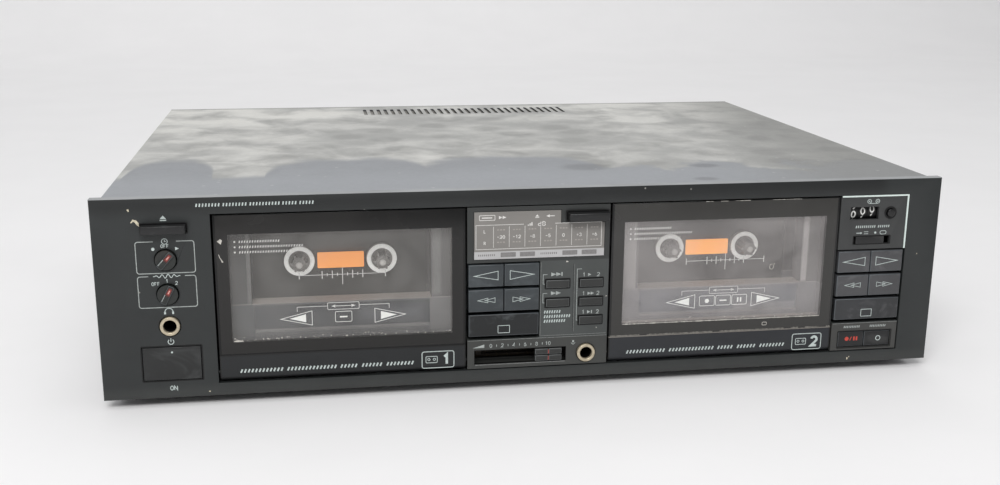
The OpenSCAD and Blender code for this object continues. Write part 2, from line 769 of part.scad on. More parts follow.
// Cassette door: strip, rim behind the window and the holder that carries the cassette
module door(d) {
    x = deck_x[d];
    hw = door_w / 2;
    bar_z1 = holder_z0 + holder_bar_h;
    pocket_hw = pocket_w / 2;
    channel_y = [pocket_y0 - tiny, pocket_y1 + holder_wall];
    channel_z = [holder_z0, holder_z0 + channel_h];
    color(moulded_grey) difference() {
        union() {
            bar_x(pivot_r, [x - hw, x + hw], pivot_y, pivot_z);
            block([x - hw, x + hw], [0, pivot_y + pivot_r / 2], [pivot_z, strip_z1]);
            block([x - hw, x + hw], [lens_t, holder_y0], [strip_z1 - tiny, door_z1]);
            block([x - holder_face_x, x + holder_face_x], [holder_y0 - tiny, pocket_y0],
                [holder_z0, channel_z[1] + holder_over]);
            for (side = [-1, 1]) {
                block(span(x, side, pocket_hw, holder_x), channel_y, channel_z);
                block(span(x, side, pocket_hw - lip_w, holder_x), [pocket_y1, channel_y[1]], channel_z);
                block(span(x, side, pocket_hw - ledge_w, holder_x), channel_y,
                    [holder_z0, holder_z0 + holder_wall]);
            }
            bar_x(pin_r, [x - hw - pin_l, x + hw + pin_l], pivot_y, pivot_z);
        }
        block([x - window_w / 2, x + window_w / 2], [-1, holder_y0], [window_z0, window_z0 + window_h]);
        block([x - holder_open_w / 2, x + holder_open_w / 2], [-1, pocket_y0 + tiny],
            [bar_z1, channel_z[1] + holder_over + 1]);
        block([x - holder_open_w / 2 + recess_side, x + holder_open_w / 2 - recess_side],
            [-1, holder_y0 + recess_d], [window_z0 + recess_low, bar_z1 - recess_side]);
    }
}

// A stretch from the near to the far distance on one side of x
function span(x, side, near, far) = side > 0 ? [x + near, x + far] : [x - far, x - near];

// Smoked window plate over the upper part of a door
module door_window(d) {
    x = deck_x[d];
    color(smoke) block([x - door_w / 2, x + door_w / 2], [0, lens_t], [strip_z1 + lens_seam, door_z1]);
}

// Display window, notched round the second eject button
module display_window() {
    y0 = face_y - display_out;
    color(smoke) display_plate(0, [y0, y0 + display_t]);
}

module display_plate(grow, y) {
    x = [-centre_w / 2 + display_left, centre_w / 2 - display_right];
    z = [upper_z0 + display_low, door_z1 - display_top];
    notch = [eject_x[1] - eject_w / 2 - display_eject_side, eject_z - display_eject_low];
    translate([0, y[1], 0]) rotate([90, 0, 0]) linear_extrude(y[1] - y[0]) polygon([
        [x[0] - grow, z[0] - grow], [x[1] + grow, z[0] - grow], [x[1] + grow, notch[1] + grow],
        [notch[0] + grow, notch[1] + grow], [notch[0] + grow, z[1] + grow], [x[0] - grow, z[1] + grow]
    ]);
}

// Transport keys: 0 and 1 play backward and forward, 2 and 3 wind, 4 stops
function key_x(x0, k) = k == 4 ? x0 + key_field_w / 2
    : x0 + (k % 2 == 0 ? 1 : 3) * key_field_w / 4 + (k % 2 == 0 ? -1 : 1) * key_gap / 4;
function key_z(k) = keys_z0 + key_h / 2 + (2 - floor(k / 2)) * key_pitch;
function key_w(k) = k == 4 ? key_field_w : (key_field_w - key_gap) / 2;
function key_field_x(d) = (d == 0 ? -centre_w / 2 : right_x0) + key_side;

// A push key with the stem that works its switch
module push_key(x, z, w, h, front, travel) {
    slab(x, z, w, h, [front, back_y[0] - travel - rest_gap]);
    slab(x, z, stem, stem, [back_y[0] - travel - 1, switch_y - travel - rest_gap]);
}

module transport_key(d, k) {
    color(key_grey) push_key(key_x(key_field_x(d), k), key_z(k), key_w(k), key_h, -key_out, key_travel);
}

function record_key_w() = (record_x[1] - record_x[0] - record_gap) / 2;
function record_key_x(k) = record_x[0] + record_key_w() / 2 + k * (record_key_w() + record_gap);

module record_key(k) {
    front = lower_y + record_sunk;
    color(key_grey) push_key(record_key_x(k), record_z, record_key_w(), record_h, front, button_travel);
}

// Function buttons: 0 and 1 in the left column, 2 to 4 in the right one
function function_button_x(b) = button_x[b < 2 ? 0 : 1];
function function_button_z(b) = button_z - (b < 2 ? b : b - 2) * button_pitch;

module function_button(b) {
    color(key_grey)
        push_key(function_button_x(b), function_button_z(b), button_w, button_h, -button_out, button_travel);
}

module eject_button(d) {
    color(key_grey) {
        slab(eject_x[d], eject_z + eject_h / 2, eject_w, eject_h, [-eject_out, button_back]);
        slab(eject_x[d], eject_z + eject_h / 2, stem, stem,
            [button_back - 1, switch_y - eject_travel - rest_gap]);
    }
}

module power_button() {
    color(key_grey) {
        slab(control_x, power_z, power_w, power_h, [-button_out, button_back]);
        slab(control_x, power_z, 2 * stem, 2 * stem,
            [button_back - 1, power_switch_y - power_travel - rest_gap]);
    }
}

// Rotary knob with a grip bar and the spindle that turns its switch
module rotary_knob(i) {
    color(key_grey) translate([control_x, 0, knob_z[i]]) rotate([0, knob_turn[i], 0]) {
        bar_y(knob_r, 0, [-knob_out + grip_h, panel_t + knob_collar], 0);
        intersection() {
            slab(0, 0, grip_w, 2 * knob_r, [-knob_out, panel_t]);
            bar_y(knob_r, 0, [-knob_out - 1, panel_t], 0);
        }
        bar_y(knob_shaft_r, 0, [panel_t + knob_collar - tiny, left_board_y - knob_seat], 0);
    }
}

// Level sliders: 0 is the upper one, for the left channel
function slider_z(i) = mic_z + (i == 0 ? 1 : -1) * (slider_h + slot_gap) / 2;

module level_slider(i) {
    color(key_grey) difference() {
        union() {
            slab(slider_x, slider_z(i), slider_l, slider_h, [-slider_out, lower_y + face_t]);
            slab(slider_x, slider_z(i), stem, blade, [lower_y + 1, front_board_y - groove_floor - rest_gap]);
        }
        slab(slider_x, slider_z(i), mark_w, slider_h + 1, [-slider_out - 1, -slider_out + mark_d]);
    }
}

module reverse_mode_slider() {
    color(key_grey) {
        slab(mode_x, mode_z, mode_l, mode_h, [0, face_y + face_t]);
        slab(mode_x, mode_z, stem, blade, [face_y + 1, front_board_y - groove_floor - rest_gap]);
    }
}

// Counter wheels: 0 counts hundreds, 1 tens and 2 units
module counter_wheel(i) {
    x = counter_x + (i - 1) * wheel_pitch;
    color(panel_black) difference() {
        bar_x(wheel_r, [x - wheel_w / 2, x + wheel_w / 2], counter_y, counter_z);
        bar_x(wheel_axle_r + turn_gap, [x - wheel_w, x + wheel_w], counter_y, counter_z);
    }
}

module counter_reset_button() {
    step_y = back_y[1] - reset_step;
    color(key_grey) {
        bar_y(reset_r, reset_x, [-reset_out, step_y], counter_z);
        bar_y(reset_r / 2, reset_x, [step_y - tiny, switch_y - reset_travel - rest_gap], counter_z);
    }
}

// Headphone and microphone sockets, each a moulded body with a plated sleeve
function socket_w() = 2 * (jack_sleeve_r + socket_wall);
function socket_hole_w() = socket_w() + 2 * socket_gap;

module socket_body_hole(x, z, y) {
    slab(x, z, socket_hole_w(), socket_hole_w(), y);
}

module socket(x, z, seat_y) {
    difference() {
        union() {
            bar_y(jack_sleeve_r, x, [-sleeve_out, seat_y + tiny], z);
            slab(x, z, socket_w(), socket_w(), [seat_y, jack_bore_l + socket_end]);
        }
        bar_y(jack_bore_r, x, [-2 * sleeve_out, jack_bore_l - sleeve_out], z);
    }
}

module front_sockets() {
    color(brass_gold) {
        socket(control_x, phones_z, panel_t);
        socket(mic_x, mic_z, lower_y + face_t);
    }
}

// Transport frame: front plate, posts, rear bridge and the motor's can
module transport_frame(d) {
    x = deck_x[d];
    hw = plate_w / 2;
    foot = [plate_back - tiny, bridge_y + tiny];
    bearing_y = [plate_back - tiny, flywheel_y - bearing_gap];
    head_pin_y = [plate_y - head_plate_t - head_pin_end, plate_y + tiny];
    through_y = [plate_y - 1, bridge_y + bridge_t + 1];
    color(steel) {
        difference() {
            union() {
                block([x - hw, x + hw], [plate_y, plate_back], plate_z);
                block([x - hw, x + hw], foot, [plate_z[0], plate_z[0] + plate_t]);
                for (side = [-1, 1]) {
                    bar_y(bearing_r, x + side * capstan_pitch / 2, bearing_y, capstan_z);
                    bar_y(head_pin_r, x + side * head_pin_x, head_pin_y, head_z + head_pin_up);
                }
                for (p = post_places(x)) bar_y(post_r, p[0], [plate_back - tiny, bridge_y + tiny], p[1]);
                block([x - hw, x + hw], [bridge_y, bridge_y + bridge_t],
                    [plate_z[0] + bridge_low, plate_z[1] - bridge_top]);
            }
            for (side = [-1, 1]) {
                bar_y(spindle_shaft_r + turn_gap, x + side * hub_pitch / 2, through_y, hub_z);
                bar_y(capstan_r + turn_gap, x + side * capstan_pitch / 2, through_y, capstan_z);
                bar_z(screw_clear_r, x + side * frame_screw_x, frame_screw_y,
                    [plate_z[0] - 1, plate_z[0] + plate_t + 1]);
            }
            bar_y(pulley_r + pulley_gap, x + motor_x, [bridge_y - 1, bridge_y + bridge_t + 1], motor_z);
        }
        difference() {
            bar_y(motor_r, x + motor_x, [bridge_y + bridge_t, bridge_y + bridge_t + motor_l], motor_z);
            bar_y(motor_shaft_r + turn_gap, x + motor_x,
                [bridge_y, bridge_y + bridge_t + motor_shaft_l + 1], motor_z);
        }
    }
}

function post_places(x) = [
    for (side = [-1, 1], z = [plate_z[0] + post_up, plate_z[1] - post_down])
        [x + side * (plate_w / 2 - post_in), z]
];

// Reel spindle: table, splined hub with a pointed nose, and its gear behind the plate
spindle_shaft_r = 1.5;
spline_count = 6;
spline_h = 1;
spline_w = 1;
spline_in = 0.5;
nose_l = 2;
shaft_in = 0.5;

module spindle(d, side) {
    table_y = plate_y - rest_gap - table_t;
    tip_y = plate_y - spindle_l;
    hub_y = tip_y + nose_l;
    core_r = hub_r - spline_h;
    gear_y = plate_back + rest_gap;
    color(reel_white) translate([deck_x[d] + side * hub_pitch / 2, 0, hub_z]) rotate([-90, 0, 0]) {
        rotate_extrude() polygon([
            [0, tip_y], [core_r / 3, tip_y], [core_r, hub_y], [core_r, table_y], [table_r, table_y],
            [table_r, table_y + table_t], [spindle_shaft_r, table_y + table_t], [spindle_shaft_r, gear_y],
            [reel_gear_r, gear_y], [reel_gear_r, gear_y + reel_gear_t], [0, gear_y + reel_gear_t]
        ]);
        for (i = [0:spline_count - 1]) rotate([0, 0, i * 360 / spline_count])
            translate([0, -spline_w / 2, hub_y + spline_in])
                cube([hub_r, spline_w, table_y - hub_y - 2 * spline_in]);
    }
}

// Flywheel with its capstan
module flywheel(d, side) {
    rim_r = flywheel_r - flywheel_rim;
    web = flywheel_t / 2;
    shaft = [plate_y - spindle_l + shaft_in, bridge_y + bridge_t - shaft_in];
    color(steel) translate([deck_x[d] + side * capstan_pitch / 2, 0, capstan_z]) rotate([-90, 0, 0])
        rotate_extrude() polygon([
            [0, shaft[0]], [capstan_r, shaft[0]], [capstan_r, flywheel_y], [flywheel_r, flywheel_y],
            [flywheel_r, flywheel_y + flywheel_t], [rim_r, flywheel_y + flywheel_t],
            [rim_r, flywheel_y + web], [bearing_r, flywheel_y + web],
            [bearing_r, flywheel_y + flywheel_t], [capstan_r, flywheel_y + flywheel_t],
            [capstan_r, shaft[1]], [0, shaft[1]]
        ]);
}

// Motor pulley on its shaft, in line with the flywheels' rims
module motor_pulley(d) {
    y = flywheel_y + (flywheel_t - pulley_l) / 2;
    color(brass_gold) {
        bar_y(pulley_r, deck_x[d] + motor_x, [y, y + pulley_l], motor_z);
        bar_y(motor_shaft_r, deck_x[d] + motor_x,
            [y + pulley_l - tiny, bridge_y + bridge_t + motor_shaft_l], motor_z);
    }
}

// Drive belt: round the left flywheel and the pulley, with its back against the right flywheel.
// A wheel's radius is positive where the belt goes round it and negative where its back touches it.
belt_middle = belt_gap + belt_t / 2;
belt_wheels = [
    [-capstan_pitch / 2, capstan_z, flywheel_r + belt_middle],
    [capstan_pitch / 2, capstan_z, -flywheel_r - belt_middle],
    [motor_x, motor_z, pulley_r + belt_middle]
];

// Direction in degrees of the straight run from one wheel to the next
function run_angle(a, b) =
    let (dx = b[0] - a[0], dz = b[1] - a[1])
    atan2(dz, dx) - asin((b[2] - a[2]) / norm([dx, dz]));

// Turn of the belt on a wheel: forwards where it goes round it, backwards where its back touches it
function wheel_turn(angle_in, angle_out, r) =
    let (turn = (angle_out - angle_in + 720) % 360)
    r > 0 ? turn : turn - 360;

function belt_line(shift) = [
    for (i = [0:2])
        let (w = belt_wheels[i], before = belt_wheels[(i + 2) % 3], after = belt_wheels[(i + 1) % 3],
            angle_in = run_angle(before, w), turn = wheel_turn(angle_in, run_angle(w, after), w[2]),
            steps = ceil(abs(turn) / 6))
        for (s = [0:steps])
            let (angle = angle_in + turn * s / steps, r = w[2] + shift)
            [w[0] + r * sin(angle), w[1] - r * cos(angle)]
];

module drive_belts() {
    color(rubber) for (x = deck_x)
        translate([x, belt_y + belt_w, 0]) rotate([90, 0, 0]) linear_extrude(belt_w) difference() {
            polygon(belt_line(belt_t / 2));
            polygon(belt_line(-belt_t / 2));
        }
}

// Head block: a slotted plate that rises on two pins, with the head, its guides and the pinch rollers
module head_block(d) {
    x = deck_x[d];
    plate_front = plate_y - rest_gap - head_plate_t;
    through_y = [plate_front - 1, plate_y + 1];
    pin_z = head_z + head_pin_up;
    roller_z = head_z + roller_r;
    roller_y = [plate_front - roller_gap - roller_l, plate_front - roller_gap];
    color(steel) difference() {
        union() {
            block([x - head_plate_hw, x + head_plate_hw], [plate_front, plate_front + head_plate_t],
                [head_z - head_plate_low, head_z + head_plate_top]);
            block([x - head_hw, x + head_hw], [plate_front - head_l, plate_front + tiny],
                [head_z - head_low, head_z + head_top]);
            for (side = [-1, 1]) {
                bar_y(roller_r, x + side * capstan_pitch / 2, roller_y, roller_z);
                bar_y(roller_pin_r, x + side * capstan_pitch / 2,
                    [roller_y[0] - roller_pin_out, plate_front + tiny], roller_z);
            }
        }
        for (side = [-1, 1]) {
            slab(x + side * head_pin_x, pin_z - head_lift / 2, 2 * (head_pin_r + slide_gap), head_lift,
                through_y);
            for (z = [pin_z, pin_z - head_lift])
                bar_y(head_pin_r + slide_gap, x + side * head_pin_x, through_y, z);
        }
    }
}

// Circuit boards with the switches, slide controls and larger parts that they carry
main_board_x = [-95, 160];
main_board_l = 112.5;
main_board_back = 30;
main_board_up = 9;
standoff_in = 6;
standoff_r = 3;
large_capacitor = [7, 24];
large_capacitor_pitch = 18;
small_capacitor = [3, 11];
small_capacitor_pitch = 30;
chip = [20, 8, 3.5];
chip_pitch = 36;
heat_sink = [56, 12, 34];
parts_in = 26;
left_board_hw = 19;
left_board_down = 4;
rotary_switch_w = 14;
rotary_switch_d = 10;
power_switch_w = 16;
power_switch_h = 12;
eject_switch_w = 8;
eject_switch_h = 5;
control_d = 4;

module switch_block(x, z) {
    slab(x, z, 2 * stem, 2 * stem, [switch_y, front_board_y]);
}

module front_board(x, notch) {
    difference() {
        block(x, [front_board_y, front_board_y + board_t], [door_z0, door_z1]);
        for (n = notch) slab(n[0], n[1], n[2], n[3], [front_board_y - 1, front_board_y + board_t + 1]);
    }
}

// A sliding control's body, grooved for the stems that move in it
module slide_control(slot, cap_l, groove_z) {
    groove_x = [slot[0] + cap_l / 2 - stem / 2 - slide_gap, slot[1] - cap_l / 2 + stem / 2 + slide_gap];
    last = groove_z[len(groove_z) - 1];
    difference() {
        block([groove_x[0] - stem, groove_x[1] + stem], [front_board_y - control_d, front_board_y],
            [groove_z[0] - stem, last + stem]);
        for (g = groove_z)
            slab((groove_x[0] + groove_x[1]) / 2, g, groove_x[1] - groove_x[0], blade + 2 * slide_gap,
                [front_board_y - control_d - 1, front_board_y - groove_floor]);
    }
}

module circuit_boards() {
    color(board_green) {
        front_board([-centre_w / 2, centre_w / 2], [[mic_x, mic_z, socket_hole_w(), socket_hole_w()]]);
        front_board([right_x0, right_x1],
            [[counter_x, counter_z, counter_window_w + 2 * counter_cheek_t, 2 * wheel_r + wheel_room]]);
        for (d = [0, 1], k = [0:4])
            switch_block(key_x(key_field_x(d), k), key_z(k));
        for (b = [0:4])
            switch_block(function_button_x(b), function_button_z(b));
        for (k = [0:1])
            switch_block(record_key_x(k), record_z);
        switch_block(reset_x, counter_z);
        switch_block(eject_x[1], eject_z + eject_h / 2);
        slide_control(slot_x, slider_l, [slider_z(1), slider_z(0)]);
        slide_control(mode_slot_x, mode_l, [mode_z]);
        left_board();
        main_board_parts();
    }
}

// Upright board at the left, behind the rotary knobs, the headphone socket and the power button
module left_board() {
    y = [left_board_y, left_board_y + board_t];
    difference() {
        block([control_x - left_board_hw, control_x + left_board_hw], y,
            [chassis_top, cover_top - cover_t - left_board_down]);
        socket_body_hole(control_x, phones_z, [y[0] - 1, y[1] + 1]);
    }
    for (z = knob_z) difference() {
        slab(control_x, z, rotary_switch_w, rotary_switch_w, [left_board_y - rotary_switch_d, left_board_y]);
        bar_y(knob_shaft_r + turn_gap, control_x,
            [left_board_y - rotary_switch_d - 1, left_board_y - knob_seat + 1], z);
    }
    slab(control_x, power_z, power_switch_w, power_switch_h, [power_switch_y, left_board_y]);
    slab(eject_x[0], eject_z + eject_h / 2, eject_switch_w, eject_switch_h, [switch_y, left_board_y]);
}

module main_board_parts() {
    x = main_board_x;
    y1 = body_d - main_board_back;
    y0 = y1 - main_board_l;
    z = chassis_top + main_board_up;
    top = z + board_t;
    block(x, [y0, y1], [z, top]);
    for (px = [x[0] + standoff_in, x[1] - standoff_in], py = [y0 + standoff_in, y1 - standoff_in])
        bar_z(standoff_r, px, py, [chassis_top, z]);
    for (i = [0:3])
        bar_z(large_capacitor[0], x[0] + parts_in + large_capacitor_pitch * i, y1 - parts_in,
            [top, top + large_capacitor[1]]);
    for (i = [0:4]) translate([x[0] + parts_in + chip_pitch * i, y0 + parts_in, top]) cube(chip);
    translate([x[1] - parts_in - heat_sink[0], y0 + 2 * parts_in, top]) cube(heat_sink);
    for (i = [0:5])
        bar_z(small_capacitor[0], x[0] + parts_in + small_capacitor_pitch * i, y0 + 2 * parts_in,
            [top, top + small_capacitor[1]]);
}

// Mains transformer: laminated core with two windows, winding round its middle limb, and mounting foot
transformer_w = 68;
transformer_d = 56;
transformer_h = 58;
transformer_side = 21.5;
transformer_back = 62.5;
foot_tab = 8;
foot_sheet = 2;
core_in = 14;
core_limb = 22;
core_window_w = 12;
core_window_h = 32;
coil_in = 4;
coil_gap = 0.5;

module power_transformer() {
    x = [-chassis_hw + transformer_side, -chassis_hw + transformer_side + transformer_w];
    y = [rear_y - transformer_back - transformer_d, rear_y - transformer_back];
    core_y = [y[0] + core_in, y[1] - core_in];
    core_z = [chassis_top + foot_sheet, chassis_top + transformer_h];
    mid_x = (x[0] + x[1]) / 2;
    mid_z = (core_z[0] + core_z[1]) / 2;
    coil_w = core_limb + 2 * (core_window_w - coil_gap);
    color(cover_grey) {
        block([x[0] - foot_tab, x[1] + foot_tab], y, [chassis_top, core_z[0]]);
        difference() {
            block(x, core_y, core_z);
            for (side = [-1, 1])
                slab(mid_x + side * (core_limb + core_window_w) / 2, mid_z, core_window_w, core_window_h,
                    [core_y[0] - 1, core_y[1] + 1]);
        }
        difference() {
            slab(mid_x, mid_z, coil_w, core_window_h - 2 * coil_gap, [y[0] + coil_in, y[1] - coil_in]);
            slab(mid_x, mid_z, core_limb, core_window_h, core_y);
        }
    }
}

// Line sockets in a square of four, and the bush for the mains cord
function line_place(i) = [line_x + (i % 2) * line_pitch, line_z + floor(i / 2) * line_pitch];

module rear_connectors() {
    wall_back = rear_y + chassis_t;
    tip_y = wall_back + line_out;
    color(brass_gold) {
        for (i = [0:3]) translate([line_place(i)[0], 0, line_place(i)[1]]) difference() {
            union() {
                bar_y(line_r, 0, [rear_y, tip_y], 0);
                bar_y(line_r + line_shoulder, 0, [rear_y - tiny, rear_y + chassis_t + line_shoulder_out], 0);
                slab(0, 0, line_pitch - line_body_gap, line_pitch - line_body_gap,
                    [rear_y - line_body_d, rear_y]);
            }
            bar_y(line_bore_r, 0, [tip_y - line_bore_l, tip_y + 1], 0);
        }
    }
    color(rubber) difference() {
        union() {
            bar_y(cord_bore_r + cord_bush_t, -cord_x,
                [wall_back + cord_flange - cord_bush_l, wall_back + tiny], cord_z);
            bar_y(cord_bore_r + 2 * cord_bush_t, -cord_x, [wall_back, wall_back + cord_flange], cord_z);
        }
        bar_y(cord_bore_r, -cord_x, [rear_y - cord_bush_l, wall_back + cord_flange + 1], cord_z);
    }
}

// All screws: front posts, cover sides, feet and transport feet
module screws() {
    post_back = panel_rim + chassis_t;
    foot_top = chassis_up - foot_web;
    frame_top = chassis_top + plate_t;
    color(steel) {
        for (side = [-1, 1], z = post_screw_z) {
            bar_y(screw_r, side * post_x, [panel_t, post_back + tiny], z);
            bar_y(screw_head_r, side * post_x, [post_back, post_back + screw_head_t], z);
        }
        for (side = [-1, 1], y = side_screw_y) {
            bar_x(screw_r, span(0, side, chassis_hw - side_screw_l, cover_hw + tiny), y, side_screw_z);
            bar_x(screw_head_r, span(0, side, cover_hw, cover_hw + screw_head_t), y, side_screw_z);
        }
        for (p = foot_places) {
            bar_z(screw_r, p[0], p[1], [foot_top - tiny, chassis_top + foot_web]);
            bar_z(screw_head_r, p[0], p[1], [foot_top - screw_head_t, foot_top]);
        }
        for (x = deck_x, side = [-1, 1]) {
            bar_z(screw_r, x + side * frame_screw_x, frame_screw_y, [chassis_up, frame_top + tiny]);
            bar_z(screw_head_r, x + side * frame_screw_x, frame_screw_y,
                [frame_top, frame_top + screw_head_t]);
        }
    }
}

placed() front_panel();
placed() centre_panel();
placed() right_panel();
placed() top_cover();
placed() chassis();
placed() feet();
placed() transport_frame(0);  // transport_frame_1
placed() transport_frame(1);  // transport_frame_2
placed() display_window();
placed() front_sockets();
placed() circuit_boards();
placed() power_transformer();
placed() rear_connectors();
placed() drive_belts();
placed() screws();
placed() door(0);  // door_1
placed() door_window(0);  // door_1_window
placed() door(1);  // door_2
placed() door_window(1);  // door_2_window
placed() spindle(0, -1);  // left_spindle_1
placed() spindle(0, 1);  // right_spindle_1
placed() spindle(1, -1);  // left_spindle_2
placed() spindle(1, 1);  // right_spindle_2
placed() head_block(0);  // head_block_1
placed() head_block(1);  // head_block_2
placed() flywheel(0, -1);  // left_flywheel_1
placed() flywheel(0, 1);  // right_flywheel_1
placed() flywheel(1, -1);  // left_flywheel_2
placed() flywheel(1, 1);  // right_flywheel_2
placed() motor_pulley(0);  // motor_pulley_1
placed() motor_pulley(1);  // motor_pulley_2
placed() transport_key(0, 0);  // reverse_play_key_1
placed() transport_key(0, 1);  // forward_play_key_1
placed() transport_key(0, 2);  // rewind_key_1
placed() transport_key(0, 3);  // fast_forward_key_1
placed() transport_key(0, 4);  // stop_key_1
placed() transport_key(1, 0);  // reverse_play_key_2
placed() transport_key(1, 1);  // forward_play_key_2
placed() transport_key(1, 2);  // rewind_key_2
placed() transport_key(1, 3);  // fast_forward_key_2
placed() transport_key(1, 4);  // stop_key_2
placed() record_key(0);  // record_pause_key
placed() record_key(1);  // auto_space_key
placed() function_button(0);  // track_search_button
placed() function_button(1);  // preset_button
placed() function_button(2);  // normal_dubbing_button
placed() function_button(3);  // high_speed_dubbing_button
placed() function_button(4);  // search_dubbing_button
placed() eject_button(0);  // eject_button_1
placed() eject_button(1);  // eject_button_2
placed() power_button();
placed() rotary_knob(0);  // timer_knob
placed() rotary_knob(1);  // noise_reduction_knob
placed() level_slider(0);  // level_slider_left
placed() level_slider(1);  // level_slider_right
placed() reverse_mode_slider();
placed() counter_wheel(2);  // counter_units_wheel
placed() counter_wheel(1);  // counter_tens_wheel
placed() counter_wheel(0);  // counter_hundreds_wheel
placed() counter_reset_button();
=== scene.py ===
"""Dresses the double cassette deck: finishes, prints, dust, floor, light and camera.

Everything is in metres in the part's own frame, with +X to the right of someone who faces the deck, +Y away
from them and +Z up. Prints and zones on the front are laid out in panel millimetres: x from the centre line, y
back from the panel's face and z up from its bottom edge.
"""

import logging
import math
from dataclasses import dataclass, field, replace
from enum import Enum
from functools import cached_property

import bmesh
import bpy
import mathutils
import numpy as np
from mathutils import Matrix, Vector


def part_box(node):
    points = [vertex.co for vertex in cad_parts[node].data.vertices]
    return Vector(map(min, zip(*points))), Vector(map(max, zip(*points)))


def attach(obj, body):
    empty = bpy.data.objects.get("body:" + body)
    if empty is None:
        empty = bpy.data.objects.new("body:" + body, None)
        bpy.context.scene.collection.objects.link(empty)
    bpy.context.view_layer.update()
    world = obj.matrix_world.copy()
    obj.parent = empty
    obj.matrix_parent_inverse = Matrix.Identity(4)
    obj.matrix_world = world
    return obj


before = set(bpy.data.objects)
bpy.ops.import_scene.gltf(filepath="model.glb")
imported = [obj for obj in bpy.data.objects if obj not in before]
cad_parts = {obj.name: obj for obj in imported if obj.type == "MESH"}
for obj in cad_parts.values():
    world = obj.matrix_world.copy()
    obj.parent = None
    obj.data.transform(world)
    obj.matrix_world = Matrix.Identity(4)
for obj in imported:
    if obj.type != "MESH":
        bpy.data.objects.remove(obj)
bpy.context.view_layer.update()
MM = 0.001
PANEL_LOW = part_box("front_panel")[0]
ORIGIN = np.array([0.0, PANEL_LOW.y, PANEL_LOW.z])

# Which way the deck looks, from which angle an edge is sharp, and how near to each other two points are one
FRONT = (0.0, -1.0, 0.0)
SHARP_ANGLE = math.radians(35)
WELD_REACH = 2e-6

# Points in each corner of a rounded box
CORNER_STEPS = 6

# In panel millimetres: the height of prints, the depths of the inserts' faces, the gap round a control, a depth
# beyond the whole deck, and the wells' middles
PRINT_LIFT = 0.05
UPPER_INSERT, LOWER_INSERT = 0.5, 0.2
CONTROL_GAP = 0.3
THROUGH = 1000.0
WELL_X = {1: -99.3, 2: 99.3}

Pair = tuple[float, float]
Colour = tuple[float, float, float]
Outputs = bpy.types.NodeOutputs
Tree = bpy.types.NodeTree
Wire = bpy.types.NodeSocket
log = logging.getLogger("deck")


def srgb(red: float, green: float, blue: float) -> Colour:
    """Turn display values from 0 to 255 into the linear colour that shaders take.

    Args:
        red: Display value of red.
        green: Display value of green.
        blue: Display value of blue.

    Returns:
        The linear colour.
    """
    share = np.array([red, green, blue]) / 255
    linear = np.where(share <= 0.04045, share / 12.92, ((share + 0.055) / 1.055) ** 2.4)
    return tuple(float(part) for part in linear)


def tinted(colour: Colour, factor: float) -> Colour:
    """Return a colour made brighter or darker by a factor."""
    return tuple(part * factor for part in colour)


@dataclass(frozen=True)
class Extent:
    """A box in panel millimetres, with its middle across and up, and how far back its front lies."""

    low: np.ndarray
    high: np.ndarray
    x: float
    z: float
    front: float


def panel_extent(node: str) -> Extent:
    """Measure a node at rest.

    Args:
        node: The node's name.

    Returns:
        Its box in panel millimetres.
    """
    low, high = ((np.array(corner) - ORIGIN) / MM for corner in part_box(node))
    middle = (low + high) / 2
    return Extent(low, high, float(middle[0]), float(middle[2]), float(low[1]))


# Shader nodes

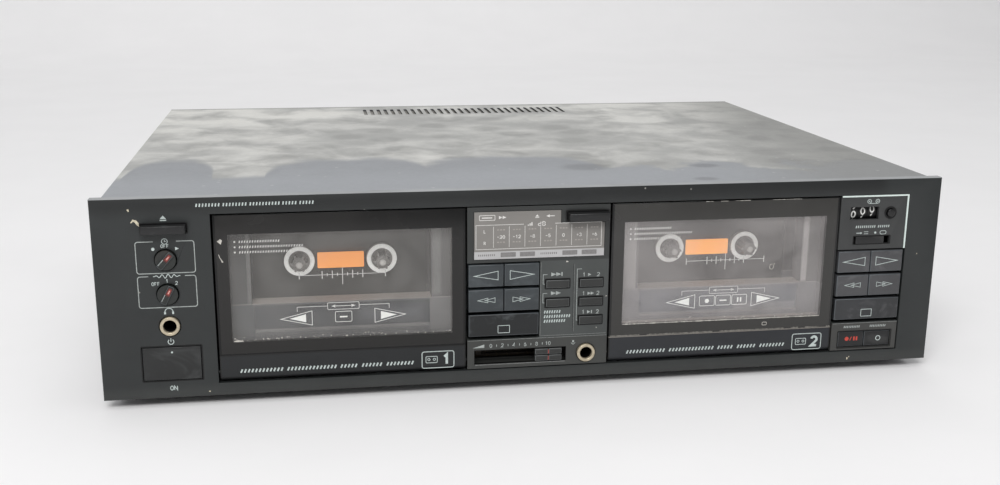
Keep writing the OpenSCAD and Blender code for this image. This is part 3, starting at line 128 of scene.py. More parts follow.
class NodeBoard:
    """A node tree, with short calls that add nodes and join them."""

    def __init__(self, tree: Tree) -> None:
        """Keep the tree that the calls work on."""
        self.tree = tree

    def feed(self, socket: Wire, value: object) -> None:
        """Link a socket to another one, or set its plain value.

        Args:
            socket: The input to feed.
            value: An output socket, a number, a vector or a colour.
        """
        if isinstance(value, Wire):
            self.tree.links.new(value, socket)
        elif socket.type == "RGBA":
            socket.default_value = (*value, 1.0)
        else:
            socket.default_value = value

    def add(self, kind: str, inputs: dict | None = None, **settings: object) -> bpy.types.Node:
        """Add a node.

        Args:
            kind: The node's type; the ShaderNode prefix may be left out.
            inputs: What feeds each input, by name or by number.
            settings: The node's own options.

        Returns:
            The new node.
        """
        node = self.tree.nodes.new(kind if "Node" in kind else "ShaderNode" + kind)
        for name, value in settings.items():
            setattr(node, name, value)
        for key, value in (inputs or {}).items():
            self.feed(node.inputs[key], value)
        return node

    def shade(self, name: str, value: object) -> None:
        """Feed an input of the material's Principled shader."""
        self.feed(self.tree.nodes["Principled BSDF"].inputs[name], value)

    @cached_property
    def vector(self) -> Wire:
        """The piece's own coordinates."""
        return self.add("TexCoord").outputs["Object"]

    @cached_property
    def at(self) -> Outputs:
        """The piece's own coordinates along X, Y and Z."""
        return self.axes(self.vector)

    def place(self, effect: "Effect", **inputs: object) -> Outputs:
        """Return the outputs of a shared effect, fed with the piece's own coordinates and with other values."""
        return self.add("Group", {"Vector": self.vector, **inputs}, node_tree=effect.group()).outputs

    def axes(self, vector: Wire) -> Outputs:
        """Return a vector's parts along X, Y and Z."""
        return self.add("SeparateXYZ", {0: vector}).outputs

    def upward(self) -> Wire:
        """Return how far the surface faces up, from -1 to 1."""
        return self.axes(self.add("NewGeometry").outputs["Normal"])["Z"]

    def math(self, operation: str, first: object, second: object = 0.0) -> Wire:
        """Return a sum, product or other operation on two values."""
        return self.add("Math", {0: first, 1: second}, operation=operation).outputs[0]

    def times(self, first: object, second: object) -> Wire:
        """Return the product of two values."""
        return self.math("MULTIPLY", first, second)

    def mapped(self, vector: Wire, **changes: tuple) -> Wire:
        """Return coordinates turned or scaled by a Mapping node."""
        return self.add("Mapping", {"Vector": vector, **changes}).outputs[0]

    def vector_math(self, operation: str, first: object, second: object = (0.0,) * 3) -> Outputs:
        """Return the outputs of an operation on two vectors."""
        return self.add("VectorMath", {0: first, 1: second}, operation=operation).outputs

    def mix(self, share: object, first: object, second: object) -> Wire:
        """Return a colour between two others."""
        return self.add("Mix", {0: share, 6: first, 7: second}, data_type="RGBA").outputs[2]

    def blend(self, share: object, first: object, second: object) -> Wire:
        """Return a value between two others."""
        return self.add("Mix", {0: share, 2: first, 3: second}, data_type="FLOAT").outputs[0]

    def rise(self, value: object, low: float, high: float) -> Wire:
        """Return a smooth step from 0 at the low value to 1 at the high one."""
        inputs = {0: value, 1: low, 2: high, 3: 0.0, 4: 1.0}
        return self.add("MapRange", inputs, interpolation_type="SMOOTHSTEP").outputs[0]

    def noise(self, vector: object, scale: object, detail: float = 2.0, rough: float = 0.5,
              twist: float = 0.0) -> Wire:
        """Return soft noise with so many cells per metre."""
        inputs = {"Vector": vector, "Scale": scale, "Detail": detail, "Roughness": rough, "Distortion": twist}
        return self.add("TexNoise", inputs).outputs["Fac"]

    def bump(self, height: object, strength: float, depth: float) -> Wire:
        """Return the normal of a surface with that relief."""
        return self.add("Bump", {"Height": height, "Strength": strength, "Distance": depth}).outputs["Normal"]


class Effect(Enum):
    """Shared effects, each a node group that is built once."""

    GRAIN = "moulded_grain"
    MARKS = "handling_marks"
    DUST = "settled_dust"
    SPECKS = "dust_specks"
    BOX = "box_zone"

    def group(self) -> Tree:
        """Build the effect on its first use: inputs, nodes and then outputs.

        Returns:
            The effect's node group.
        """
        known = bpy.data.node_groups.get(self.value)
        if known:
            return known
        build, inputs = EFFECTS[self]
        tree = bpy.data.node_groups.new(self.value, "ShaderNodeTree")
        for socket, kind in inputs.items():
            tree.interface.new_socket(socket, in_out="INPUT", socket_type="NodeSocket" + kind)
        board = NodeBoard(tree)
        results = build(board, tree.nodes.new("NodeGroupInput").outputs)
        for socket in results:
            tree.interface.new_socket(socket, in_out="OUTPUT", socket_type="NodeSocketFloat")
        leaving = tree.nodes.new("NodeGroupOutput").inputs
        for socket, wire in results.items():
            board.feed(leaving[socket], wire)
        return tree


def build_grain(board: NodeBoard, given: Outputs) -> dict[str, Wire]:
    """Build the grain of moulded plastic: fine noise as relief, and slow noise as a drift of tone.

    Args:
        board: The group's board.
        given: The group's inputs.

    Returns:
        The group's outputs by name.
    """
    fine = board.noise(given["Vector"], given["Grains"], 3.0, 0.6)
    slow = board.noise(given["Vector"], board.times(given["Grains"], 0.012), 4.0, 0.6)
    return {"Height": fine, "Drift": board.rise(slow, 0.3, 0.7)}


def build_marks(board: NodeBoard, given: Outputs) -> dict[str, Wire]:
    """Build handling marks: soft smears, drawn out on a slant, where fingers changed the gloss.

    Args:
        board: The group's board.
        given: The group's inputs.

    Returns:
        The group's outputs by name.
    """
    turned = board.mapped(given["Vector"], Rotation=(0.0, 0.3, 0.0), Scale=(0.55, 1.0, 0.85))
    return {"Smear": board.rise(board.noise(turned, given["Smears"], 3.0, 0.65, 1.2), 0.5, 0.72)}


def build_dust(board: NodeBoard, given: Outputs) -> dict[str, Wire]:
    """Build settled dust: clouds of two sizes, on what faces up.

    Args:
        board: The group's board.
        given: The group's inputs.

    Returns:
        The group's outputs by name.
    """
    broad = board.noise(given["Vector"], given["Clouds"], 5.0, 0.6, 0.5)
    fine = board.noise(given["Vector"], board.times(given["Clouds"], 9.0), 3.0, 0.6)
    level = board.math("ADD", board.times(broad, 0.7), board.times(fine, 0.3))
    lifted = board.math("ADD", level, board.math("SUBTRACT", given["Share"], 0.5))
    return {"Mask": board.times(board.rise(lifted, 0.35, 0.65), board.rise(given["Up"], 0.3, 0.9))}


def build_specks(board: NodeBoard, given: Outputs) -> dict[str, Wire]:
    """Build loose specks: a small disc in some of the cells of a scatter.

    Args:
        board: The group's board.
        given: The group's inputs.

    Returns:
        The group's outputs by name.
    """
    cells = board.add("TexVoronoi", {"Vector": given["Vector"], "Scale": given["Cells"]}).outputs
    near = board.math("SUBTRACT", 1.0, board.rise(cells["Distance"], 0.06, 0.2))
    picked = board.math("LESS_THAN", board.axes(cells["Color"])["X"], given["Share"])
    return {"Mask": board.times(near, picked)}


def build_box(board: NodeBoard, given: Outputs) -> dict[str, Wire]:
    """Build a box zone: 1 where a point lies within half a size of the centre, with a soft rim.

    Args:
        board: The group's board.
        given: The group's inputs.

    Returns:
        The group's outputs by name.
    """
    offset = board.vector_math("SUBTRACT", given["Vector"], given["Centre"])[0]
    away = board.vector_math("ABSOLUTE", offset)[0]
    room = board.axes(board.vector_math("SUBTRACT", given["Half"], away)[0])
    least = board.math("MINIMUM", board.math("MINIMUM", room["X"], room["Z"]), room["Y"])
    return {"Mask": board.rise(board.math("DIVIDE", least, given["Rim"]), 0.0, 1.0)}


EFFECTS = {
    Effect.GRAIN: (build_grain, {"Vector": "Vector", "Grains": "Float"}),
    Effect.MARKS: (build_marks, {"Vector": "Vector", "Smears": "Float"}),
    Effect.DUST: (build_dust, {"Vector": "Vector", "Up": "Float", "Clouds": "Float", "Share": "Float"}),
    Effect.SPECKS: (build_specks, {"Vector": "Vector", "Cells": "Float", "Share": "Float"}),
    Effect.BOX: (build_box, {"Vector": "Vector", "Centre": "Vector", "Half": "Vector", "Rim": "Float"}),
}


# Finishes

@dataclass(frozen=True)
class Finish:
    """A named surface finish. Each kind says in dress() how it feeds the shader."""

    name: str

    def material(self) -> bpy.types.Material:
        """Build the finish on its first use.

        Returns:
            Its material.
        """
        known = bpy.data.materials.get(self.name)
        if known:
            return known
        material = bpy.data.materials.new(self.name)
        material.use_nodes = True
        self.dress(NodeBoard(material.node_tree))
        return material

    def dress(self, board: NodeBoard) -> None:
        """Feed the shader's inputs through the material's board."""
        raise NotImplementedError


@dataclass(frozen=True)
class Moulded(Finish):
    """Plastic or paint with grain, drifting tone, handling marks, and dust on ledges and in specks."""

    colour: Colour
    roughness: float = 0.45
    grains: float = 2400.0
    relief: float = 0.25
    drift: float = 0.12
    smears: float = 40.0
    smear_gloss: float = 0.12
    smear_tone: float = 0.0
    dust: Colour = srgb(150, 146, 140)
    ledge_share: float = 0.0
    specks: float = 0.0

    def dress(self, board: NodeBoard) -> None:
        """Feed tone, gloss and relief.

        Args:
            board: The material's board.
        """
        grain = board.place(Effect.GRAIN, Grains=self.grains)
        smear = board.place(Effect.MARKS, Smears=self.smears)["Smear"]
        tone = self.tone(board)
        darker = board.mix(grain["Drift"], (1 - self.drift,) * 3, (1 + self.drift,) * 3)
        inputs = {0: 1.0, 6: tone, 7: darker}
        tone = board.add("Mix", inputs, data_type="RGBA", blend_type="MULTIPLY").outputs[2]
        if self.smear_tone:
            tone = board.mix(board.times(smear, self.smear_tone), tone, self.dust)
        if self.ledge_share:
            dust = board.place(Effect.DUST, Up=board.upward(), Clouds=60.0, Share=self.ledge_share)["Mask"]
            tone = board.mix(dust, tone, self.dust)
        if self.specks:
            speck = board.place(Effect.SPECKS, Cells=330.0, Share=self.specks)["Mask"]
            tone = board.mix(board.times(speck, 0.6), tone, self.dust)
        board.shade("Base Color", tone)
        board.shade("Roughness", board.blend(smear, self.roughness, self.roughness + self.smear_gloss))
        board.shade("Normal", board.bump(grain["Height"], self.relief, depth=0.00006))

    def tone(self, board: NodeBoard) -> object:
        """Return the colour before grain, marks and dust, from nodes on the material's board."""
        return self.colour


@dataclass(frozen=True)
class Zone:
    """An upright box in panel millimetres, from the panel's face to a depth, with a colour of its own."""

    centre: Pair
    half: Pair
    colour: Colour
    rim: float = 0.15
    depth: float = THROUGH

    def mask(self, board: NodeBoard) -> Wire:
        """Place the zone's mask.

        Args:
            board: The material's board.

        Returns:
            1 inside the zone and 0 outside it.
        """
        middle = ORIGIN + np.array([self.centre[0], 0.0, self.centre[1]]) * MM
        half = (self.half[0] * MM, self.depth * MM, self.half[1] * MM)
        return board.place(Effect.BOX, Centre=tuple(middle), Half=half, Rim=self.rim * MM)["Mask"]


@dataclass(frozen=True)
class Zoned(Moulded):
    """A moulded finish with boxes of other colours."""

    zones: tuple[Zone, ...] = ()

    def tone(self, board: NodeBoard) -> object:
        """Return the colour of the zone that a point lies in.

        Args:
            board: The material's board.

        Returns:
            The colour, or the socket that gives it.
        """
        tone = self.colour
        for zone in self.zones:
            tone = board.mix(zone.mask(board), tone, zone.colour)
        return tone


@dataclass(frozen=True)
class DustyPaint(Finish):
    """Textured dark paint under dust and painted sheen, wiped off in bays at the front, thick at the sides and
    rear.

    A bay is its middle, half its width and its depth in metres, and a stain is its place and its radius.
    """

    paint: Colour
    wiped: Colour
    film: Colour
    dust: Colour
    spot: Colour
    wiped_to: float = -0.112
    bays: tuple[tuple[float, float, float], ...] = (
        (-0.0925, 0.0445, 0.044), (-0.004, 0.05, 0.04), (-0.187, 0.023, 0.052))
    stains: tuple[tuple[float, float, float], ...] = (
        (0.037, -0.106, 0.019), (0.092, -0.147, 0.009), (0.104, -0.11, 0.011))
    # Where the right side of the top darkens as painted shade.
    dark_side: Pair = (0.115, 0.2)
    stain_squash: float = 1.4

    def dress(self, board: NodeBoard) -> None:
        """Feed the wiped front and the dust behind it on upward faces, with fine grit over both.

        Args:
            board: The material's board.
        """
        slanted = board.math("SUBTRACT", board.at["X"], board.times(board.at["Y"], 0.12))
        # Painted shade darkens the right side of the top, towards the spot tone.
        side = board.rise(slanted, *self.dark_side)
        behind = self.behind_bays(board)
        blotch = self.blotches(board)
        dusty = board.mix(blotch, self.thin_film(board), self.dust)
        dusty = board.mix(board.times(side, 0.65), dusty, self.spot)
        # Painted shade darkens the rear edge of the top.
        dusty = board.mix(board.times(board.rise(board.at["Y"], 0.152, 0.157), 0.6), dusty, self.spot)
        streak = board.rise(board.noise(board.vector, 34.0, 5.0, 0.65), 0.3, 0.7)
        nearer = board.rise(board.at["Y"], -0.085, -0.13)
        wiped = board.mix(streak, tinted(self.wiped, 0.94), tinted(self.wiped, 1.06))
        wiped = board.mix(board.times(nearer, 0.5), wiped, tinted(self.wiped, 1.3))
        wiped = board.mix(board.times(side, 0.7), wiped, self.spot)
        top = board.mix(behind, wiped, dusty)
        flat = board.mapped(board.vector, Scale=(1.0, self.stain_squash, 0.0))
        for x, y, radius in self.stains:
            away = board.vector_math("DISTANCE", flat, (x, y * self.stain_squash, 0.0))["Value"]
            top = board.mix(board.times(board.rise(away, radius, 0.4 * radius), 0.45), top, self.paint)
        speck = board.place(Effect.SPECKS, Cells=150.0, Share=0.16)["Mask"]
        top = board.mix(board.times(speck, 0.3), top, self.dust)
        grit = board.blend(board.noise(board.vector, 420.0, 2.0, 0.7), 0.9, 1.1)
        top = board.add("VectorMath", {0: top, "Scale": grit}, operation="SCALE").outputs[0]
        board.shade("Base Color", board.mix(board.rise(board.upward(), 0.3, 0.9), self.paint, top))
        board.shade("Roughness", board.blend(behind, 0.42, board.blend(blotch, 0.6, 0.75)))
        grain = board.place(Effect.GRAIN, Grains=1700.0)
        board.shade("Normal", board.bump(grain["Height"], 0.3, depth=0.00008))

    def thin_film(self, board: NodeBoard) -> Wire:
        """Colour the thin dust.

        Args:
            board: The material's board.

        Returns:
            A slow drift of tone, with faint round spots left by drops.
        """
        drift = board.rise(board.noise(board.vector, 30.0, 5.0, 0.6, 0.4), 0.35, 0.65)
        film = board.mix(drift, tinted(self.film, 0.92), tinted(self.film, 1.08))
        cells = board.add("TexVoronoi", {"Vector": board.vector, "Scale": 27.0, "Randomness": 0.6},
                          voronoi_dimensions="2D")
        drops = board.rise(cells.outputs["Distance"], 0.36, 0.18)
        return board.mix(board.times(drops, 0.3), film, self.spot)

    def blotches(self, board: NodeBoard) -> Wire:
        """Find where the dust lies thick.

        Args:
            board: The material's board.

        Returns:
            A mask of clouds, many of them at the left, the right and the rear and few in the middle.
        """
        back = board.rise(board.at["Y"], -0.06, 0.13)
        left = board.times(board.rise(board.at["X"], -0.09, -0.15), board.blend(back, 0.35, 1.0))
        right = board.times(board.rise(board.at["X"], 0.05, 0.1), board.blend(back, 0.05, 0.85))
        beside = board.rise(board.math("ABSOLUTE", board.at["X"]), 0.06, 0.1)
        # Thicker dust at the rear also stands in for a painted sheen.
        rear = board.times(board.rise(board.at["Y"], 0.04, 0.12), board.blend(beside, 0.5, 1.2))
        rim = board.times(board.rise(board.at["Y"], -0.01, -0.06), board.rise(board.at["X"], 0.08, 0.04))
        lift = board.math("MAXIMUM", board.math("MAXIMUM", left, right), board.times(rim, 0.5))
        lift = board.math("MAXIMUM", lift, rear)
        cloud = board.noise(board.vector, 30.0, 3.5, 0.55, 0.4)
        thick = board.rise(board.math("ADD", cloud, board.times(lift, 0.18)), 0.43, 0.83)
        return board.times(thick, board.blend(lift, 0.5, 1.0))

    def behind_bays(self, board: NodeBoard) -> Wire:
        """Tell the wiped bays from what lies behind them.

        Args:
            board: The material's board.

        Returns:
            0 in the bays and 1 behind them. The edge wavers with noise and swings back in each bay, by the
            bay's depth times the root of 1 less the third power of the way from its middle to its end.
        """
        waver = board.math("SUBTRACT", board.noise(board.vector, 34.0, 4.0, 0.6), 0.5)
        swing = board.blend(board.rise(board.at["X"], 0.03, 0.08), 0.03, 0.15)
        reach = 0.0
        for middle, half, depth in self.bays:
            way = board.math("DIVIDE", board.math("SUBTRACT", board.at["X"], middle), half)
            fall = board.math("POWER", board.math("ABSOLUTE", way), 3.0)
            arch = board.math("SQRT", board.math("MAXIMUM", board.math("SUBTRACT", 1.0, fall), 0.0))
            reach = board.math("MAXIMUM", board.times(arch, depth), reach)
        edge = board.math("ADD", reach, board.times(waver, swing))
        beyond = board.math("SUBTRACT", board.at["Y"], edge)
        return board.rise(beyond, self.wiped_to - 0.006, self.wiped_to + 0.012)


@dataclass(frozen=True)
class SmokedLens(Finish):
    """A smoked window: a clear field with a hazy film that also paints a reflection, in a glossy painted border
    with a black edge.
    """

    field: Zone
    border: Zone
    crown: Colour
    # How thick the hazy film is; it also paints a reflection.
    haze: float
    cloud: float = 0.3
    gloss: float = 0.4

    def dress(self, board: NodeBoard) -> None:
        """Feed the border's colour and full cover outside the field, and inside it a thin hazy film that also
        paints a reflection.

        Args:
            board: The material's board.
        """
        clear = self.field.mask(board)
        film = board.rise(board.noise(board.vector, 26.0, 4.0, 0.6, 0.6), 0.3, 0.7)
        share = board.times(board.blend(film, 1 - self.cloud, 1 + self.cloud), self.haze)
        speck = board.place(Effect.SPECKS, Cells=420.0, Share=0.05)["Mask"]
        share = board.math("ADD", share, board.times(speck, 0.1))
        grain = board.place(Effect.GRAIN, Grains=900.0)
        smear = board.place(Effect.MARKS, Smears=30.0)["Smear"]
        top = ORIGIN[2] + (self.border.centre[1] + self.border.half[1]) * MM
        height = board.rise(board.at["Z"], top - 0.03, top)
        painted = board.mix(height, self.border.colour, self.crown)
        painted = board.mix(grain["Drift"], painted, tinted(self.border.colour, 1.2))
        # Beyond the border the lens's edge is near black: painted shade of the gap round the door.
        painted = board.mix(self.border.mask(board), srgb(6, 6, 6), painted)
        board.shade("Base Color", board.mix(clear, painted, self.field.colour))
        board.shade("Alpha", board.blend(clear, 1.0, share))
        board.shade("Roughness", board.blend(smear, 0.16, 0.3))
        board.shade("Specular IOR Level", self.gloss)


@dataclass(frozen=True)
class Socket(Finish):
    """A socket's plated collar, with painted shade in the black bore behind it."""

    colour: Colour
    bore_from: float

    def dress(self, board: NodeBoard) -> None:
        """Feed pale plating in front of a depth in panel millimetres, and near black behind it as painted shade
        in the bore.

        Args:
            board: The material's board.
        """
        edge = ORIGIN[1] + self.bore_from * MM
        inside = board.rise(board.at["Y"], edge, edge + 0.0002)
        tarnish = board.rise(board.noise(board.vector, 500.0, 4.0, 0.6), 0.35, 0.7)
        plate = board.mix(tarnish, self.colour, tinted(self.colour, 0.78))
        board.shade("Base Color", board.mix(inside, plate, srgb(10, 9, 9)))
        board.shade("Metallic", board.blend(inside, 0.6, 0.0))
        board.shade("Roughness", board.blend(tarnish, 0.32, 0.5))


@dataclass(frozen=True)
class PlatedAndRubber(Finish):
    """Plated sockets on the right half of the deck, and a rubber bush on its left half."""

    plating: Colour
    rubber: Colour

    def dress(self, board: NodeBoard) -> None:
        """Feed tarnished plating or grained rubber, by the side of the centre line.

        Args:
            board: The material's board.
        """
        plated = board.rise(board.at["X"], -0.01, 0.01)
        tarnish = board.rise(board.noise(board.vector, 300.0, 4.0, 0.6), 0.35, 0.7)
        plate = board.mix(tarnish, self.plating, tinted(self.plating, 0.75))
        board.shade("Base Color", board.mix(plated, self.rubber, plate))
        board.shade("Metallic", board.blend(plated, 0.0, 1.0))
        board.shade("Roughness", board.blend(plated, 0.75, board.blend(tarnish, 0.26, 0.42)))
        grain = board.place(Effect.GRAIN, Grains=1200.0)
        board.shade("Normal", board.bump(grain["Height"], 0.2, depth=0.00005))


@dataclass(frozen=True)
class Ink(Finish):
    """Screen-printed ink, a little thin in places."""

    colour: Colour
    wear: float = 0.2
    # A glow on a part that is no lamp: painted light.
    glow: float = 0.0

    def dress(self, board: NodeBoard) -> None:
        """Feed the ink's colour, darker where fine noise says that it is thin.

        Args:
            board: The material's board.
        """
        thin = board.rise(board.noise(board.vector, 700.0, 3.0, 0.7), 0.35, 0.7)
        tone = board.mix(thin, self.colour, tinted(self.colour, 1 - self.wear))
        board.shade("Base Color", tone)
        board.shade("Roughness", 0.5)
        # Painted glow, though the part is no lamp.
        if self.glow:
            board.shade("Emission Color", tone)
            board.shade("Emission Strength", self.glow)


@dataclass(frozen=True)
class Metal(Finish):
    """Metal with fine marks from turning or rolling, and dull patches."""

    colour: Colour
    roughness: float = 0.3
    dull: float = 0.2

    def dress(self, board: NodeBoard) -> None:
        """Feed a plain metal, with fine noise as relief and slow noise as dull patches.

        Args:
            board: The material's board.
        """
        fine = board.noise(board.vector, 300.0)
        patch = board.rise(board.noise(board.vector, 60.0, 4.0, 0.6), 0.35, 0.7)
        board.shade("Base Color", board.mix(patch, self.colour, tinted(self.colour, 0.8)))
        board.shade("Metallic", 1.0)
        board.shade("Roughness", board.blend(patch, self.roughness, self.roughness + self.dull))
        board.shade("Normal", board.bump(fine, 0.15, depth=0.00002))


@dataclass(frozen=True)
class ZincSheet(Finish):
    """Zinc-plated sheet steel, with flat crystals of slightly different tone, dark underneath as painted shade.
    """

    colour: Colour
    under: Colour

    def dress(self, board: NodeBoard) -> None:
        """Feed one tone and gloss to each cell of a scatter of crystals.

        Args:
            board: The material's board.
        """
        cells = board.add("TexVoronoi", {"Vector": board.vector, "Scale": 160.0})
        pick = board.axes(cells.outputs["Color"])
        film = board.rise(board.noise(board.vector, 22.0, 4.0, 0.6), 0.35, 0.7)
        tone = board.mix(pick[0], tinted(self.colour, 0.85), self.colour)
        # Faces that look down take the dark tone, as painted shade under the deck.
        below = board.rise(board.times(board.upward(), -1.0), 0.5, 0.8)
        above = board.mix(film, tone, tinted(self.colour, 0.7))
        board.shade("Base Color", board.mix(below, above, self.under))
        board.shade("Metallic", board.blend(below, 0.9, 0.0))
        board.shade("Roughness", board.blend(pick[1], 0.34, 0.5))


@dataclass(frozen=True)
class Striped(Finish):
    """A stack of sheets, seen as fine stripes one above the other."""

    colour: Colour
    pitch: float

    def dress(self, board: NodeBoard) -> None:
        """Feed an upward wave as stripes and relief.

        Args:
            board: The material's board.
        """
        inputs = {"Vector": board.vector, "Scale": 1 / (self.pitch * 2 * math.pi), "Distortion": 0.4}
        wave = board.add("TexWave", inputs, bands_direction="Z").outputs["Fac"]
        board.shade("Base Color", board.mix(wave, tinted(self.colour, 0.6), tinted(self.colour, 1.2)))
        board.shade("Roughness", board.blend(wave, 0.6, 0.42))
        board.shade("Normal", board.bump(wave, 0.4, depth=0.0002))


@dataclass(frozen=True)
class Laminate(Finish):
    """Circuit board laminate, with paler tracks under its lacquer."""

    colour: Colour
    track: Colour

    def dress(self, board: NodeBoard) -> None:
        """Feed a brick pattern as tracks over a faint weave.

        Args:
            board: The material's board.
        """
        turned = board.mapped(board.vector, Rotation=(math.pi / 2, 0.0, 0.0))
        inputs = {"Vector": turned, "Scale": 90.0, "Mortar Size": 0.03, "Mortar Smooth": 0.3}
        bricks = board.add("TexBrick", inputs).outputs["Fac"]
        weave = board.noise(board.vector, 1500.0, 2.0)
        tone = board.mix(weave, tinted(self.colour, 0.85), tinted(self.colour, 1.15))
        board.shade("Base Color", board.mix(bricks, tone, self.track))
        board.shade("Roughness", board.blend(weave, 0.3, 0.45))


# Finishes of this deck

# Fascia zones: dust and painted floor light at the bottom, painted shade along the top, dust and a painted
# highlight on the top edge.
FASCIA = Zoned("satin_fascia", srgb(35, 38, 38), 0.44, drift=0.1, specks=0.02, dust=srgb(170, 168, 162),
               zones=(Zone((0.0, 0.0), (250.0, 8.0), srgb(48, 50, 49), 6.0),
                      Zone((-30.0, 104.0), (220.0, 14.0), srgb(22, 24, 24), 8.0),
                      Zone((0.0, 101.5), (250.0, 0.4), srgb(150, 152, 153), 0.2)))
# The insert's last zone, near black, is painted shade in the level sliders' slot.
INSERT = Zoned("satin_insert", srgb(63, 66, 65), 0.42, drift=0.1,
               zones=(Zone((0.0, 78.0), (40.0, 14.7), srgb(44, 46, 45)),
                      Zone((0.0, 11.0), (40.0, 11.4), srgb(56, 57, 55)),
                      Zone((180.0, 57.4), (22.0, 35.0), srgb(52, 53, 53)),
                      Zone((180.0, 11.0), (22.0, 11.4), srgb(58, 58, 56)),
                      Zone((-9.1, 13.1), (24.25, 4.0), srgb(8, 8, 8), 0.1)))
KEY_EDGE = Moulded("rubbed_key_edge", srgb(70, 74, 77), 0.34, drift=0.4)
BUTTON_EDGE = Moulded("rubbed_button_edge", srgb(86, 88, 88), 0.4, drift=0.3)
GLOSSY_KEY = Moulded("glossy_key", srgb(50, 55, 58), 0.3, relief=0.08, drift=0.2, smears=90.0, smear_gloss=0.2,
                     smear_tone=0.35, dust=srgb(98, 104, 107))
KEYS = {1: GLOSSY_KEY, 2: replace(GLOSSY_KEY, name="dusty_key", colour=srgb(64, 64, 66), roughness=0.34,
                                  dust=srgb(112, 111, 113))}
WORN_STOP = Moulded("worn_stop_key", srgb(14, 17, 19), 0.32, relief=0.08, drift=0.3, smears=110.0,
                    smear_gloss=0.25, smear_tone=0.6, dust=srgb(84, 88, 90))
STOP_KEYS = {1: WORN_STOP, 2: replace(WORN_STOP, name="dusty_stop_key", colour=srgb(42, 43, 45), roughness=0.34,
                                      smear_tone=0.4, dust=srgb(100, 100, 102))}
BUTTON = Moulded("matt_button", srgb(40, 41, 40), 0.5, drift=0.15)
GLOSSY = Moulded("glossy_button", srgb(10, 10, 11), 0.22, relief=0.05)
BLACK = Moulded("black_moulding", srgb(20, 20, 21), 0.38, smears=90.0, smear_tone=0.3, dust=srgb(74, 74, 73))
# Near-black painted shade, for recesses round controls, slots and gaps.
PAINTED_SHADE = Moulded("painted_recess_shade", srgb(7, 7, 7), 0.7, drift=0.2)
POWER = Moulded("power_button_face", srgb(27, 28, 28), 0.34, relief=0.1, smears=60.0, smear_tone=0.35,
                dust=srgb(76, 78, 78))
KNOB = Moulded("knob_moulding", srgb(30, 33, 31), 0.4, smear_tone=0.2, dust=srgb(84, 70, 64))
RUBBER = Moulded("dull_rubber", srgb(30, 30, 30), 0.8, grains=900.0, relief=0.5)
COUNTER = Moulded("counter_black", srgb(10, 10, 11), 0.5)
HUB = Moulded("hub_plastic", srgb(146, 143, 139), 0.2)
# The spindle nose's pale tone is a painted highlight.
NOSE_HIGHLIGHT = Moulded("spindle_nose_highlight", srgb(196, 193, 188), 0.22, drift=0.05)
# The cover's pale dust tone also stands in for a painted sheen, and its spot tone is also painted shade.
COVER = DustyPaint("dusty_cover_paint_and_painted_sheen", srgb(80, 82, 84), srgb(133, 136, 140), srgb(167, 167, 164),
                   srgb(211, 210, 205), srgb(122, 122, 119))
ZINC = ZincSheet("zinc_sheet", srgb(170, 172, 174), srgb(12, 12, 12))
STEEL = Metal("turned_steel", srgb(190, 191, 193), 0.28)
SCREW = Metal("dark_screw", srgb(70, 70, 72), 0.35)
FITTINGS = PlatedAndRubber("plated_sockets_and_bush", srgb(226, 208, 170), srgb(22, 22, 22))
COLLAR = Socket("socket_collar", srgb(200, 188, 164), 0.7)
BRASS = Metal("turned_brass", srgb(214, 178, 96), 0.25)
CORE = Striped("stacked_core", srgb(84, 80, 76), 0.0009)
BOARD = Laminate("board_laminate_lacquer", srgb(44, 36, 26), srgb(66, 54, 38))
WHITE_INK = Ink("white_ink", srgb(190, 200, 197))
GREY_INK = Ink("grey_ink", srgb(170, 176, 173), 0.3)
LENS_INK = Ink("lens_ink", srgb(228, 228, 224), 0.1)
FAINT_INK = Ink("faint_lens_ink", srgb(206, 205, 202), 0.2)
DISPLAY_INK = Ink("display_ink", srgb(216, 214, 210), 0.15)
DISPLAY_GREY = Ink("display_grey_ink", srgb(160, 155, 149), 0.2)
DISPLAY_DARK = Ink("display_dark_ink", srgb(128, 126, 125), 0.2)
TRIM_INK = Ink("pale_trim", srgb(214, 226, 221), 0.1)
# A dark ink, for print on the rear and for painted shade in a groove on the front.
DARK_INK_AND_GROOVE_SHADE = Ink("dark_ink_and_groove_shade", srgb(22, 23, 23), 0.2)
# Pale lines along edges, as painted highlights.
EDGE_HIGHLIGHT = Ink("insert_edge_painted_highlight", srgb(132, 134, 132), 0.4)
DARK_RED = Ink("dark_red_field", srgb(84, 40, 36), 0.3)
RED = Ink("red_pointer", srgb(150, 62, 56), 0.3)
PINK = Ink("pale_pointer", srgb(222, 172, 162), 0.3)
# The red symbol has a painted glow.
RED_GLOW = Ink("red_symbol_painted_glow", srgb(186, 66, 53), 0.1, glow=0.08)
LINT = Ink("settled_lint", srgb(198, 194, 186), 0.3)
FILM = Ink("dust_film", srgb(122, 119, 112), 0.4)
CHIP = Ink("chipped_paint", srgb(216, 207, 182), 0.35)
# The reel rings and the orange labels below have a painted glow, though they are no lamps.
GLOWING_RING = Ink("reel_ring_plastic_painted_glow", srgb(248, 247, 243), 0.06, glow=0.32)
ORANGE_GLOW = Ink("orange_label_painted_glow", srgb(246, 158, 80), 0.05, glow=0.6)
BRIGHT_ORANGE_GLOW = Ink("bright_orange_label_painted_glow", srgb(252, 166, 78), 0.05, glow=0.78)
INSULATORS = (Moulded("pale_insulator", srgb(206, 203, 196), 0.35),
              Moulded("red_insulator", srgb(150, 34, 30), 0.35))


# Shapes

